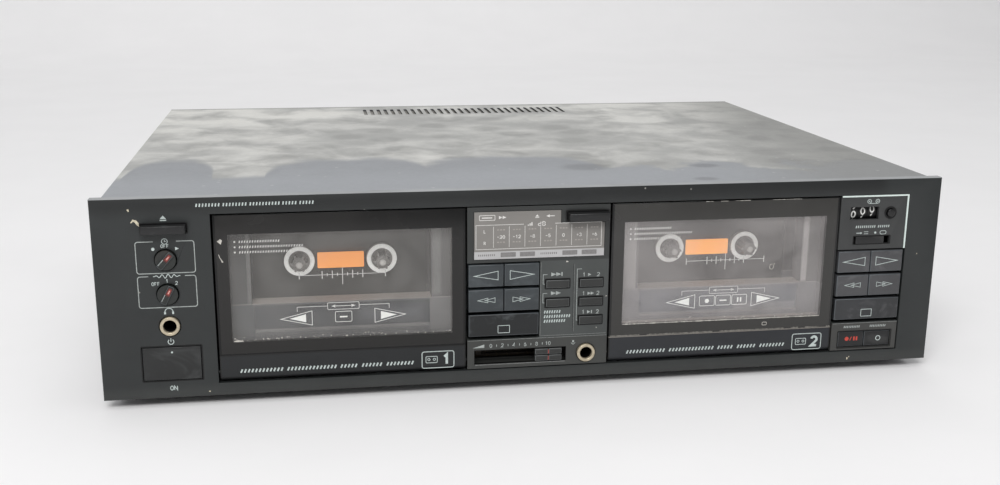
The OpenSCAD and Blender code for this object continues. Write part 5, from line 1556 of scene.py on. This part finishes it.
@dataclass
class TapeWell:
    """One tape well: its door with the smoked window, and the reels and heads behind it."""

    number: int
    look: WellLook
    window_half: float = 54.8
    window_z: Pair = (27.4, 82.4)
    lens_half: float = 61.6
    lens_z: Pair = (21.0, 92.2)
    strip_z: Pair = (6.9, 20.6)
    holder_bar: float = 44.7
    ring_outer: float = 7.85
    ring_inner: float = 5.5
    ring_depth: float = 28.4
    sign_z: float = 38.4
    scale_z: float = 60.5
    tick: float = 2.5

    def build(self) -> None:
        """Dress the well's nodes and add what is printed on and seen through its window."""
        self.door()
        self.reels()
        self.sign_print()
        self.scale_print()
        self.strip_print()

    @property
    def body(self) -> str:
        """The body of the door."""
        return f"door_{self.number}"

    @property
    def x(self) -> float:
        """The well's middle."""
        return WELL_X[self.number]

    def lens_marks(self) -> Marks:
        """Return marks for the face of the window, about the well's middle."""
        return on_front(panel_extent(f"{self.body}_window").front, self.x)

    def door(self) -> None:
        """Dress the door and its window."""
        low, high = self.window_z
        middle, half = (low + high) / 2, (high - low) / 2
        strip = (self.strip_z[0] + self.strip_z[1]) / 2
        # Painted light and shade on the holder: the well's zones, a thin highlight on the holder bar's top
        # edge, and near-black shade in the gaps at the strip's sides.
        zones = [Zone((0.0, middle), (64.0, half + 6), srgb(80, 78, 79)), *self.look.zones,
                 Zone((0.0, self.holder_bar), (58.0, 0.12), srgb(158, 150, 144), 0.06)]
        zones += [Zone((side, strip), (0.7, 8.0), srgb(6, 6, 6)) for side in (-self.lens_half, self.lens_half)]
        zones = [replace(zone, centre=(self.x + zone.centre[0], zone.centre[1])) for zone in zones]
        moulding = Zoned(f"door_moulding_{self.number}", self.look.strip, 0.5, drift=0.1,
                         dust=srgb(158, 150, 143), ledge_share=self.look.ledge_share, zones=tuple(zones))
        Dressing(moulding, 0.2, depth=0.2).wear(self.body)
        clear = Zone((self.x, middle), (self.window_half, half), self.look.film, rim=0.1)
        lens_middle = (self.lens_z[0] + self.lens_z[1]) / 2
        border = Zone((self.x, lens_middle), (self.lens_half - 1.0, lens_middle - self.lens_z[0] - 0.2),
                      self.look.border, rim=0.3)
        lens = SmokedLens(f"smoked_lens_{self.number}", clear, border, self.look.crown, self.look.haze,
                          gloss=self.look.gloss)
        Dressing(lens, 0.2).wear(f"{self.body}_window")
        # The seam between strip and lens: painted shade on the first door, lint on the second.
        seam = on_front(panel_extent(self.body).front + 0.5, self.x, 0.3)
        seam.block((0.2 - self.lens_half, self.lens_half - 0.2), (self.strip_z[1], self.lens_z[0]))
        seam.piece(f"lens_seam_{self.number}", self.look.seam, self.body, "door_plastic")

    def reels(self) -> None:
        """Dress the spindles, heads and flywheels, and add the pale rings of the reels and the orange label."""
        rim = (self.ring_outer - self.ring_inner) / 2
        section = arc(self.ring_inner + rim, self.ring_depth, rim, 0.6, 0, 360, 17)[:-1]
        for side in ("left", "right"):
            spindle = f"{side}_spindle_{self.number}"
            Dressing(HUB).wear(spindle)
            Dressing(STEEL).wear(f"{side}_flywheel_{self.number}")
            table = panel_extent(spindle)
            # The pale rings have a painted glow.
            turned_ring(f"reel_ring_{side}_{self.number}", table.x, table.z, section, GLOWING_RING, spindle)
            # A pale dome on each spindle's tip is a painted highlight.
            nose = np.concatenate([arc(0.04, table.front + 0.55, 1.71, 0.9, 270, 360, 9),
                                   line((0.04, table.front + 0.9))])
            turned_ring(f"reel_nose_highlight_{side}_{self.number}", table.x, table.z, nose, NOSE_HIGHLIGHT, spindle,
                        24)
        Dressing(STEEL).wear(f"head_block_{self.number}")
        Dressing(BRASS).wear(f"motor_pulley_{self.number}")
        # The orange label has a painted glow.
        label = on_front(panel_extent(f"transport_frame_{self.number}").front, self.x, 0.4)
        label.fill(rounded_box((-12.0, 12.0), (56.0, 64.4), 0.6))
        label.piece(f"orange_label_painted_glow_{self.number}", self.look.label, slot="spindle_plastic")
        # The right part of the transport frame takes a lighter tone as painted light.
        painted_light = Zone((self.x + 38.0, 60.0), (26.0, 60.0), self.look.lit_paint, 20.0)
        paint = Zoned(f"painted_well_{self.number}", self.look.paint, 0.5, grains=1500.0, drift=0.15,
                      zones=(painted_light,))
        Dressing(paint).wear(f"transport_frame_{self.number}")

    def sign_print(self) -> None:
        """Print the signs for both directions, and the boxes between them, on the window."""
        lens = self.lens_marks()
        for way in (-1, 1):
            lens.arrow(way * 15.6, way * 31.0, self.sign_z, 7.4, 0.26)
            lens.arrow(way * 18.6, way * 26.6, self.sign_z, 4.2)
        places = (-8.9, 0.0, 8.9) if self.number == 2 else (0.0,)
        for place in places:
            lens.box((place - 4.1, place + 4.1), (35.8, 41.2), 0.7, 0.24)
        lens.block((-1.9, 1.9), (self.sign_z - 0.35, self.sign_z + 0.35))
        if len(places) == 3:
            lens.disc(places[0], self.sign_z, 1.15)
            for bar in (places[2] - 0.8, places[2] + 0.8):
                lens.block((bar - 0.4, bar + 0.4), (37.2, 39.7))
        lens.piece(f"direction_print_{self.number}", LENS_INK, self.body, "smoked_window")

    def scale_print(self) -> None:
        """Print the tape scale, the bracket over the signs and three plain rules on the window."""
        faint = self.lens_marks()
        for way in (-1, 1):
            faint.stroke(line((way * 22.8, 41.9), (way * 22.8, 44.3), (way * 7.8, 44.3)), 0.26)
            faint.stroke(line((way * 21.2, 58.6), (way * 21.2, 62.0)), 0.4)
            faint.arrow(way * 4.0, way * 6.0, 44.15, 1.5)
        faint.box((-7.8, 7.8), (42.4, 45.9), 0.5, 0.28).block((-3.8, 3.8), (43.98, 44.32))
        faint.stroke(line((-21.2, self.scale_z), (21.2, self.scale_z)), 0.26)
        for place in (-4, -3, -2, -1, 1, 2, 3, 4):
            x, reach = place * self.tick, 0.8 if place % 2 else 2.0
            faint.stroke(line((x, self.scale_z - reach), (x, self.scale_z + reach)), 0.42)
        faint.stroke(line((0.0, 55.3), (0.0, 64.0)), 0.34)
        left = 3.2 - self.window_half
        for row, length in enumerate((20.0, 31.0, 24.0)):
            z = 78.7 - row * 2.65
            faint.disc(left, z, 0.45).ticks((left + 2.2, left + 2.2 + length), z, 1.15, 1.25, 0.35, 0.4)
        faint.piece(f"scale_print_{self.number}", FAINT_INK, self.body, "smoked_window")

    def strip_print(self) -> None:
        """Print the deck's number in its box, and a plain row of ticks, on the strip below the window."""
        strip = on_front(panel_extent(self.body).front, self.x)
        right = 55.5 if self.number == 1 else 56.6
        strip.box((right - 16.4, right), (8.8, 17.6), 1.1, 0.42)
        strip.figures(str(self.number), right - 3.9, 13.2, 5.0, 0.26)
        strip.box((right - 14.4, right - 8.6), (11.6, 15.0), 0.5, 0.34)
        strip.ring(right - 12.9, 13.4, 0.6, 0.3).ring(right - 10.1, 13.4, 0.6, 0.3)
        strip.tick_groups((-51.6, right - 19.4), 12.2, 1.8, 1.8, 0.8, (0.24, 0.28, 0.1, 0.12, 0.17))
        strip.piece(f"strip_print_{self.number}", WHITE_INK, self.body, "door_plastic")


@dataclass
class TransportKeys:
    """One block of five keys with the signs on them."""

    number: int
    sign_width: float = 0.3

    def build(self) -> None:
        """Dress the keys and print their signs."""
        plain = KEYS[self.number]
        for way, name in ((-1, "reverse_play"), (1, "forward_play")):
            self.sign(name, self.key(name, plain).arrow(-way * 6.1, way * 6.1, 0.1, 4.6, self.sign_width))
        for way, name in ((-1, "rewind"), (1, "fast_forward")):
            marks = self.key(name, plain)
            for start in (-4.6, -0.9):
                marks.arrow(way * start, way * (start + 5.2), 0.3, 2.5, self.sign_width * 0.8)
            self.sign(name, marks)
        stop = self.key("stop", STOP_KEYS[self.number])
        self.sign("stop", stop.box((-3.0, 3.0), (-4.2, -0.3), 0.2, self.sign_width))

    def key(self, name: str, finish: Finish) -> Marks:
        """Dress a key.

        Args:
            name: The key's name.
            finish: Its finish.

        Returns:
            Marks for its face.
        """
        node = f"{name}_key_{self.number}"
        Dressing(finish, 0.4, KEY_EDGE).wear(node)
        return on_control(node)

    def sign(self, name: str, marks: Marks) -> None:
        """Make the marks on a key one piece."""
        marks.piece(f"{name}_sign_{self.number}", WHITE_INK, f"{name}_key_{self.number}", "key_plastic")


@dataclass
class LeftControls:
    """The left column: eject button, rotary switches, headphone socket and power button."""

    box_half: float = 13.75
    box_low: float = 6.6
    box_high: float = 9.2
    figure: float = 1.6
    weight: float = 0.18
    timer_turn: float = 42.0
    noise_turn: float = 28.0

    def build(self) -> None:
        """Dress the controls and print the marks round them."""
        Dressing(BLACK, 0.5).wear("eject_button_1")
        Dressing(POWER, 0.4).wear("power_button")
        recess_frames("left_recess_shade", 0.0, {"eject_button_1": 0.5, "power_button": 0.6})
        boxes = on_front(0.0)
        self.switch(boxes, "timer_knob", 5.4, self.timer_turn)
        self.switch(boxes, "noise_reduction_knob", 8.6, self.noise_turn)
        boxes.piece("switch_box_print", GREY_INK)
        signs = on_front(0.0)
        signs.tick_groups((-168.0, -111.5), 97.4, 1.6, 1.5, 0.3, (0.2, 0.2, 0.25, 0.12, 0.13))
        eject = panel_extent("eject_button_1")
        signs.eject_sign(eject.x, eject.high[2] + 2.9, 3.0)
        power = panel_extent("power_button")
        signs.stroke(arc(power.x, power.high[2] + 2.8, 1.35, 1.35, 130, 410, 20), 0.4)
        signs.stroke(line((power.x, power.high[2] + 2.8), (power.x, power.high[2] + 4.6)), 0.4)
        signs.figures("ON", power.x, power.low[2] - 4.4, 2.1, self.weight, 1.1)
        self.switch_signs(signs)
        signs.piece("left_column_print", WHITE_INK)
        dot = on_front(power.front, power.x).disc(0.2, power.high[2] - 2.6, 0.5)
        dot.piece("power_dot", WHITE_INK, "power_button", "key_plastic")

    def switch_signs(self, signs: Marks) -> None:
        """Print what the two rotary switches choose, and the headphone sign below them.

        Args:
            signs: Where they are drawn.
        """
        top = self.box_high
        signs.about("timer_knob").disc(-5.6, 5.5, 0.8).figures("OFF", 0.0, 6.9, self.figure, self.weight)
        signs.arrow(4.8, 6.6, 5.5, 1.7).ring(0.0, top, 1.35, 0.35)
        signs.stroke(line((0.0, top + 0.9), (0.0, top), (0.7, top)), 0.3)
        signs.about("noise_reduction_knob").figures("OFF", -5.4, 5.4, self.figure, self.weight)
        signs.figures("1", 0.0, 6.7, self.figure, self.weight).figures("2", 4.4, 5.6, self.figure, self.weight)
        reach = np.linspace(-6.4, 6.4, 49)
        swell = np.sin(reach * 2.2) * np.cos(reach / 6.4 * np.pi / 2)
        signs.stroke(np.stack([reach, top + swell], 1), 0.35)
        signs.stroke(arc(0.0, -8.9, 1.9, 1.8, 0, 180, 16), 0.38)
        for shell in (-1.9, 1.9):
            signs.block((shell - 0.45, shell + 0.45), (-10.1, -8.8))

    def switch(self, boxes: Marks, node: str, gap: float, turn: float) -> None:
        """Dress a rotary switch, frame it with an open box and give its grip bar a red pointer.

        Args:
            boxes: Where the box is drawn.
            node: The knob's node.
            gap: Half the width of the opening in the box's top.
            turn: How far the grip bar is turned, in degrees clockwise from upright.
        """
        Dressing(KNOB, 0.25, KEY_EDGE).wear(node)
        knob = panel_extent(node)
        left, right = knob.x - self.box_half, knob.x + self.box_half
        low, high = knob.z - self.box_low, knob.z + self.box_high
        outline = rounded_box((left, right), (low, high), 1.2)
        last = 3 * CORNER_STEPS
        cut = [line((knob.x - gap, high)), outline[last:], outline[:last], line((knob.x + gap, high))]
        boxes.stroke(np.concatenate(cut), 0.4)
        along = np.array([math.sin(math.radians(turn)), math.cos(math.radians(turn))])
        across = np.array([-along[1], along[0]])
        layers = {"field": (DARK_RED, 0.04, (-0.4, 4.0), (2.3, 1.8)),
                  "pointer": (RED, 0.07, (0.4, 3.4), (1.5, 1.1)),
                  "core": (PINK, 0.1, (1.0, 2.7), (0.6, 0.45))}
        for part, (finish, lift, reach, width) in layers.items():
            layer = on_control(node, lift).stroke(np.outer(reach, along), np.array(width))
            layer.piece(f"{node}_{part}", finish, node, "key_plastic")
        # A pale line along the edge of the grip bar.
        bar_line = on_control(node, 0.06).stroke(across * 1.1 + np.outer((-3.9, -0.2), along), 0.3)
        bar_line.piece(f"{node}_rub", GREY_INK, node, "key_plastic")


@dataclass
class DisplayBlock:
    """The level display with its notched window and the second eject button."""

    strip_high: float = 69.3
    table_x: Pair = (-32.4, 32.3)
    table_z: Pair = (70.5, 83.0)
    first_cell: float = 8.9
    cell: float = 8.05
    cells: tuple[str, ...] = ("-20", "-12", "-8", "-5", "0", "+3", "+6")

    def build(self) -> None:
        """Dress the window and print the level table on it."""
        window = panel_extent("display_window")
        strip = Zone((window.x, self.strip_high - 10.0), (60.0, 10.0), srgb(178, 177, 177))
        face = Zoned("display_face", srgb(125, 122, 118), 0.3, relief=0.05, drift=0.06, smears=50.0,
                     smear_tone=0.12, dust=srgb(160, 157, 153), zones=(strip,))
        Dressing(face, 0.15).wear("display_window")
        Dressing(BLACK, 0.5).wear("eject_button_2")
        recess_frames("eject_recess_shade", UPPER_INSERT, {"eject_button_2": 0.7})
        marks = on_front(window.front)
        self.table(marks)
        marks.box((-30.7, -22.8), (85.5, 88.0), 0.3, 0.3)
        marks.block((-29.4, -24.2), (86.45, 87.05))
        marks.arrow(-20.8, -18.9, 86.8, 1.6).arrow(-18.9, -17.0, 86.8, 1.6)
        marks.eject_sign(-1.2, 86.9, 2.0)
        marks.arrow(5.2, 3.4, 86.9, 1.5).block((5.2, 7.8), (86.7, 87.1))
        marks.piece("level_table_print", DISPLAY_INK, "housing", "smoked_window")
        self.bars(window.front)

    def table(self, marks: Marks) -> None:
        """Draw the open frame, its columns and the level of each, in decibels.

        Args:
            marks: Where they are drawn.
        """
        (left, right), (low, high) = self.table_x, self.table_z
        frame_path = line((-8.0, high), (left, high), (left, low), (right, low), (right, high), (8.0, high))
        marks.stroke(frame_path, 0.26)
        start = left + self.first_cell
        for place, text in enumerate(self.cells):
            edge = start + place * self.cell
            marks.stroke(line((edge, low + 0.8), (edge, high - 0.9)), 0.22)
            marks.figures(text, edge + self.cell / 2 - 0.2, 76.7, 1.5, 0.2, 1.15)
        for step in range(3):
            marks.block((-6.0 + step * 0.9, -5.4 + step * 0.9), (high - 0.9, high - 0.3 + step * 0.6))
        marks.figures("dB", 1.2, high, 2.0, 0.18, 1.3)
        marks.figures("L", -28.0, 79.7, 1.5, 0.2).figures("R", -28.0, 73.6, 1.5, 0.2)

    def bars(self, depth: float) -> None:
        """Print the dim lamp bars of the table, and the dark boxes on the strip below it.

        Args:
            depth: How far the window's face lies behind the panel's.
        """
        faint = on_front(depth)
        start = self.table_x[0] + self.first_cell - 0.2
        for place in range(len(self.cells)):
            middle = start + (place + 0.5) * self.cell
            for bar in (-1.5, 0.0, 1.5):
                for row in (80.4, 74.0):
                    faint.block((middle + bar - 0.5, middle + bar + 0.5), (row - 0.3, row + 0.3))
        faint.piece("level_bars_print", DISPLAY_GREY, "housing", "smoked_window")
        dark = on_front(depth)
        for edge in (-19.8, -9.9, 12.1, 22.2):
            dark.fill(rounded_box((edge, edge + 7.8), (66.2, 68.6), 0.3))
        for edge in (-31.0, 1.0):
            dark.ticks((edge, edge + 8.5), 67.4, 1.0, 1.0, 0.0)
        dark.piece("lamp_strip_print", DISPLAY_DARK, "housing", "smoked_window")


@dataclass
class FunctionBlock:
    """The five small function buttons with their brackets, and the level sliders with their scale."""

    buttons: tuple[str, ...] = ("track_search_button", "preset_button", "normal_dubbing_button",
                                "high_speed_dubbing_button", "search_dubbing_button")
    scale_start: float = -24.6
    scale_pitch: float = 3.0

    def build(self) -> None:
        """Dress the buttons and sliders and print the marks round them."""
        for node in self.buttons:
            Dressing(BUTTON, 0.25, BUTTON_EDGE).wear(node)
        recess_frames("function_recess_shade", UPPER_INSERT, {node: 0.5 for node in self.buttons})
        upper = on_front(UPPER_INSERT)
        for node in self.buttons[:2]:
            button = panel_extent(node)
            top = button.high[2] + 3.0
            upper.stroke(line((4.6, top), (2.4, top), (2.4, button.z), (3.2, button.z)), 0.28)
            upper.arrow(6.6, 9.2, top, 2.1).arrow(9.2, 11.8, top, 2.1)
            if node == self.buttons[0]:
                upper.block((11.9, 12.5), (top - 1.05, top + 1.05))
        for count, node in enumerate(self.buttons[2:]):
            button = panel_extent(node)
            top = button.high[2] + 2.2
            upper.figures("1", button.x - 3.8, top, 1.9, 0.18).figures("2", button.x + 3.8, top, 1.9, 0.18)
            for step in range(1 + count % 2):
                upper.arrow(button.x - 1.7 + step * 1.7, button.x + step * 1.7, top, 1.7)
            if count == 2:
                upper.block((button.x + 0.4, button.x + 0.9), (top - 0.85, top + 0.85))
        lowest = panel_extent(self.buttons[-1])
        upper.stroke(line((22.6, 58.4), (20.2, 58.4), (20.2, lowest.z), (20.9, lowest.z)), 0.28)
        upper.piece("function_print", GREY_INK)
        rows = on_front(UPPER_INSERT)
        for row, length in enumerate((8.0, 13.6, 11.0)):
            rows.ticks((3.3, 3.3 + length), 36.0 - row * 2.5, 1.5, 1.3, 0.4)
        rows.piece("program_print", WHITE_INK)
        # A dark line on the upper insert is painted shade in a groove.
        on_front(UPPER_INSERT).stroke(line((18.4, 24.8), (18.4, 61.2)), 0.3).piece("function_groove_shade", DARK_INK_AND_GROOVE_SHADE)
        self.sliders()

    def sliders(self) -> None:
        """Dress the sliders, give them red marks, and print the scale and the microphone sign."""
        for node in ("level_slider_left", "level_slider_right"):
            Dressing(BUTTON, 0.3, BUTTON_EDGE).wear(node)
            cap = panel_extent(node)
            mark = on_front(cap.front, cap.x).block((-0.25, 0.25), (cap.low[2] + 0.4, cap.high[2] - 0.4))
            mark.piece(f"{node}_mark", RED, node, "key_plastic")
        lower = on_front(LOWER_INSERT)
        for place in range(11):
            x = self.scale_start + place * self.scale_pitch
            if place % 2 == 0:
                lower.figures(str(place), x, 19.1, 1.8, 0.17)
            else:
                lower.stroke(line((x, 18.5), (x, 19.7)), 0.3)
        lower.fill(line((-34.0, 18.2), (-28.0, 18.2), (-28.0, 20.0)))
        lower.stroke(line((18.8, 18.9), (18.8, 20.1)), 0.95)
        lower.stroke(arc(18.8, 19.2, 1.1, 1.1, 200, 340, 10), 0.28)
        lower.stroke(line((18.8, 18.15), (18.8, 17.5)), 0.28)
        lower.piece("input_print", GREY_INK)


@dataclass
class RightControls:
    """The right column: counter, reverse mode slider and recording keys."""

    wheel_turns: tuple[float, ...] = (-8.0, 5.0, 13.0)
    trim_z: float = 92.35
    trim_x: float = 199.35

    def build(self) -> None:
        """Dress the controls and print the marks round them."""
        Dressing(GLOSSY, 0.3).wear("counter_reset_button")
        Dressing(BLACK, 0.25).wear("reverse_mode_slider")
        # A dark box round the mode slider's slot is painted shade.
        on_front(UPPER_INSERT).box((170.1, 191.1), (66.1, 70.7), 0.35, 0.4).piece("mode_slot_shade", PAINTED_SHADE)
        for node, turn in zip(("hundreds", "tens", "units"), self.wheel_turns):
            self.wheel(f"counter_{node}_wheel", turn)
        trim = on_front(UPPER_INSERT, lift=0.45)
        trim.stroke(line((162.2, self.trim_z), (self.trim_x, self.trim_z), (self.trim_x, 63.4)), 0.8)
        trim.piece("corner_trim", TRIM_INK)
        marks = on_front(UPPER_INSERT)
        marks.block((171.6, 174.0), (72.1, 72.5)).arrow(173.9, 175.0, 72.3, 1.2)
        for z in (71.8, 72.9):
            marks.stroke(line((175.9, z), (178.3, z)), 0.28)
        marks.disc(182.3, 72.3, 0.6)
        marks.tick_groups((171.2, 190.2), 75.7, 1.3, 1.15, 0.3, (0.58, 0.34))
        marks.box((185.0, 188.4), (71.4, 73.2), 0.8, 0.28)
        for way in (-1, 1):
            marks.ring(179.9 + way * 2.3, 89.4, 1.05, 0.32)
            marks.disc(179.9 + way * 2.3, 89.4, 0.35)
        marks.stroke(line((177.6, 88.25), (182.2, 88.25)), 0.3)
        marks.piece("counter_print", WHITE_INK)
        reset = panel_extent("counter_reset_button")
        # A dark ring round the reset button is painted shade.
        on_front(UPPER_INSERT).ring(reset.x, reset.z, 3.0, 1.0).piece("reset_recess_shade", PAINTED_SHADE)
        self.record_keys()

    def wheel(self, node: str, turn: float) -> None:
        """Dress a counter wheel and wrap the figures 0 to 9 round its rim.

        Args:
            node: The wheel's node.
            turn: How far 0 stands above the middle, in degrees.
        """
        Dressing(COUNTER).wear(node)
        wheel = panel_extent(node)
        radius = float(wheel.high[2] - wheel.low[2]) / 2
        rims = [WheelFace(wheel.x, wheel.front + radius, wheel.z, radius, math.radians(turn - 36.0 * figure))
                for figure in range(10)]
        figures = Marks(rims[0])
        for figure, rim in enumerate(rims):
            figures.face = rim
            figures.figures(str(figure), 0.0, 0.0, 3.3, 0.2, 1.05)
        figures.piece(f"{node}_figures", LENS_INK, node, "counter_plastic")

    def record_keys(self) -> None:
        """Dress the recording keys and print their signs."""
        for node in ("record_pause_key", "auto_space_key"):
            Dressing(BLACK, 0.3, KEY_EDGE).wear(node)
        record = panel_extent("record_pause_key")
        # The record sign has a painted glow.
        painted_light = on_control("record_pause_key").disc(-2.2, 0.2, 1.15)
        painted_light.stroke(line((-0.4, -0.9), (0.5, 1.3)), 0.4)
        for bar in (2.0, 3.5):
            painted_light.block((bar - 0.45, bar + 0.45), (-0.9, 1.3))
        painted_light.piece("record_sign", RED_GLOW, "record_pause_key", "key_plastic")
        space = panel_extent("auto_space_key")
        # A dark band round both recording keys is painted shade.
        rim = on_front(LOWER_INSERT)
        rim.box((min(record.low[0], space.low[0]) - 0.65, max(record.high[0], space.high[0]) + 0.65),
                (record.low[2] - 0.65, record.high[2] + 0.65), 0.35, 0.5)
        rim.piece("record_recess_shade", PAINTED_SHADE)
        rows = on_front(LOWER_INSERT)
        for key in (record, space):
            rows.ticks((key.x - 4.6, key.x + 4.6), (key.high[2] + 23.2) / 2, 1.2, 0.95, 0.3)
        rows.piece("record_print", GREY_INK)
        ring = on_control("auto_space_key").ring(0.9, -0.1, 1.25, 0.42)
        ring.piece("space_sign", WHITE_INK, "auto_space_key", "key_plastic")


@dataclass
class RearPanel:
    """The line sockets and the cord bush on the rear wall, with the marks round them."""

    wall: float = 319.5
    columns: Pair = (88.0, 70.0)
    rows: Pair = (62.0, 44.0)
    ring_radius: float = 4.66
    ring_depth: float = 320.3

    def build(self) -> None:
        """Dress the fittings, ring each socket and print what its column and row are."""
        Dressing(FITTINGS).wear("rear_connectors")
        marks = Marks(BackFace(self.wall))
        marks.box((-99.0, -59.0), (35.0, 74.0), 1.6, 0.5)
        section = arc(self.ring_radius, self.ring_depth, 0.44, 0.42, 0, 360, 13)[:-1]
        for row, (z, letter) in enumerate(zip(self.rows, "LR")):
            marks.figures(letter, -62.6, z, 3.0, 0.16)
            for column, x in enumerate(self.columns):
                turned_ring(f"line_ring_{row}_{column}", x, z, section, INSULATORS[row], "housing",
                            32)
        for x, bar in zip(self.columns, (2.2, -2.2)):
            marks.arrow(-x - 1.5, -x + 1.5, 70.6, 2.6)
            marks.block((-x + bar - 0.35, -x + bar + 0.35), (69.2, 72.0))
        marks.piece("line_print", DARK_INK_AND_GROOVE_SHADE)


@dataclass
class Wear:
    """Chipped paint, lint and specks that years of use have left on the front."""

    chance: np.random.Generator = field(default_factory=lambda: np.random.default_rng(7))

    def build(self) -> None:
        """Scatter chips on the panel, and lint on the doors."""
        chips = on_front(0.0)
        streak = line((-198.7, 89.6), (-197.6, 90.8), (-196.4, 90.3), (-195.4, 88.9), (-194.6, 87.8))
        chips.stroke(streak, np.array([0.4, 0.9, 1.2, 1.3, 0.7]))
        self.flake(chips, -199.5, 95.8, 0.5)
        for x, z, size in ((172.0, 2.2, 0.5), (-166.5, 2.4, 0.35), (173.0, 3.1, 0.3), (207.0, 60.0, 0.25)):
            self.flake(chips, x, z, size)
        chips.piece("paint_chips", CHIP)
        specks = on_front(UPPER_INSERT)
        for x, z, size in ((14.8, 62.6, 0.45), (35.9, 43.4, 0.3), (31.0, 26.5, 0.25)):
            self.flake(specks, x, z, size)
        specks.piece("panel_specks", LINT)
        self.first_door()
        self.second_door()

    def first_door(self) -> None:
        """Chip the left edge of the first door, and lay lint along the lower edge of its window."""
        x = WELL_X[1]
        lint = on_front(panel_extent("door_1_window").front)
        lint.fill(line((-159.2, 79.2), (-157.4, 77.6), (-156.7, 79.6), (-157.6, 80.4)))
        scratch = line((-158.7, 72.6), (-158.2, 71.0), (-157.4, 69.7), (-156.9, 68.6))
        lint.stroke(scratch, np.array([0.25, 0.3, 0.4, 0.8]))
        self.sprinkle(lint, x, 28.0, 60)
        lint.stroke(line((x - 54.2, 27.9), (x - 52.0, 28.0), (x - 49.5, 27.8)), np.array([0.4, 1.0, 0.4]))
        lint.piece("window_lint_1", LINT, "door_1", "smoked_window")

    def second_door(self) -> None:
        """Lay lint along the edges of the second door's window and strip, and two small marks on its glass."""
        x = WELL_X[2]
        lint = on_front(panel_extent("door_2_window").front)
        self.lint_line(lint, (x - 54.4, x + 54.4), 27.55, 0.5, 1.0)
        self.lint_line(lint, (x - 12.0, x + 40.0), 91.95, 0.22, 0.4)
        self.sprinkle(lint, x, 28.2, 24)
        lint.stroke(np.concatenate([arc(x + 25.8, 55.8, 1.1, 1.4, 60, 380, 14), line((x + 27.5, 57.8))]), 0.26)
        lint.box((x + 22.6, x + 25.0), (23.6, 25.2), 0.4, 0.26)
        lint.piece("window_lint_2", LINT, "door_2", "smoked_window")
        film = on_front(panel_extent("door_2_window").front)
        self.lint_line(film, (x - 61.0, x + 61.0), 21.35, 0.6, 0.9)
        film.piece("strip_lint_2", FILM, "door_2", "smoked_window")

    def sprinkle(self, marks: Marks, x: float, z: float, count: int) -> None:
        """Scatter flakes along a window's lower edge, closer together towards that edge.

        Args:
            marks: Where the flakes are drawn.
            x: The window's middle.
            z: Its lower edge.
            count: How many flakes there are.
        """
        for place in self.chance.uniform(-54.0, 54.0, count):
            height = abs(self.chance.normal(0.0, 0.8))
            self.flake(marks, x + place, z + height, self.chance.uniform(0.1, 0.34))

    def lint_line(self, marks: Marks, x: Pair, z: float, width: float, cover: float) -> None:
        """Draw a line of lint in lengths of uneven width.

        Args:
            marks: Where the lint is drawn.
            x: Where the line starts and ends.
            z: Its height.
            width: Its usual width.
            cover: The share of its lengths that are there.
        """
        for left in np.arange(x[0], x[1], 4.0):
            if self.chance.uniform() > cover:
                continue
            reach = np.linspace(left, min(left + 4.0, x[1]), 6)
            uneven = width * (0.75 + 0.5 * self.chance.uniform(-1, 1, 6))
            marks.stroke(np.stack([reach, np.full(6, z)], 1), uneven)

    def flake(self, marks: Marks, x: float, z: float, size: float) -> None:
        """Draw a flake: a circle whose radius swells and shrinks with two sines of random phase.

        Args:
            marks: Where the flake is drawn.
            x: The flake's place across.
            z: Its height.
            size: Its usual radius.
        """
        angle = np.linspace(0, 2 * np.pi, 12, endpoint=False)
        phase = self.chance.uniform(0, 2 * np.pi, 2)
        radius = size * (1 + 0.3 * np.sin(2 * angle + phase[0]) + 0.25 * np.sin(3 * angle + phase[1]))
        marks.fill(np.stack([x + radius * np.cos(angle), z + radius * np.sin(angle)], 1))


def main() -> None:
    """Build the stage, dress the deck and report each piece."""
    logging.basicConfig(level=logging.INFO, format="%(message)s")
    Stage().build()
    assemblies = [Housing(), TapeWell(1, CLEAR_WELL), TapeWell(2, MILKY_WELL), TransportKeys(1),
                  TransportKeys(2), LeftControls(), DisplayBlock(), FunctionBlock(), RightControls(),
                  RearPanel(), Wear()]
    for assembly in assemblies:
        assembly.build()


if __name__ == "__main__":
    main()
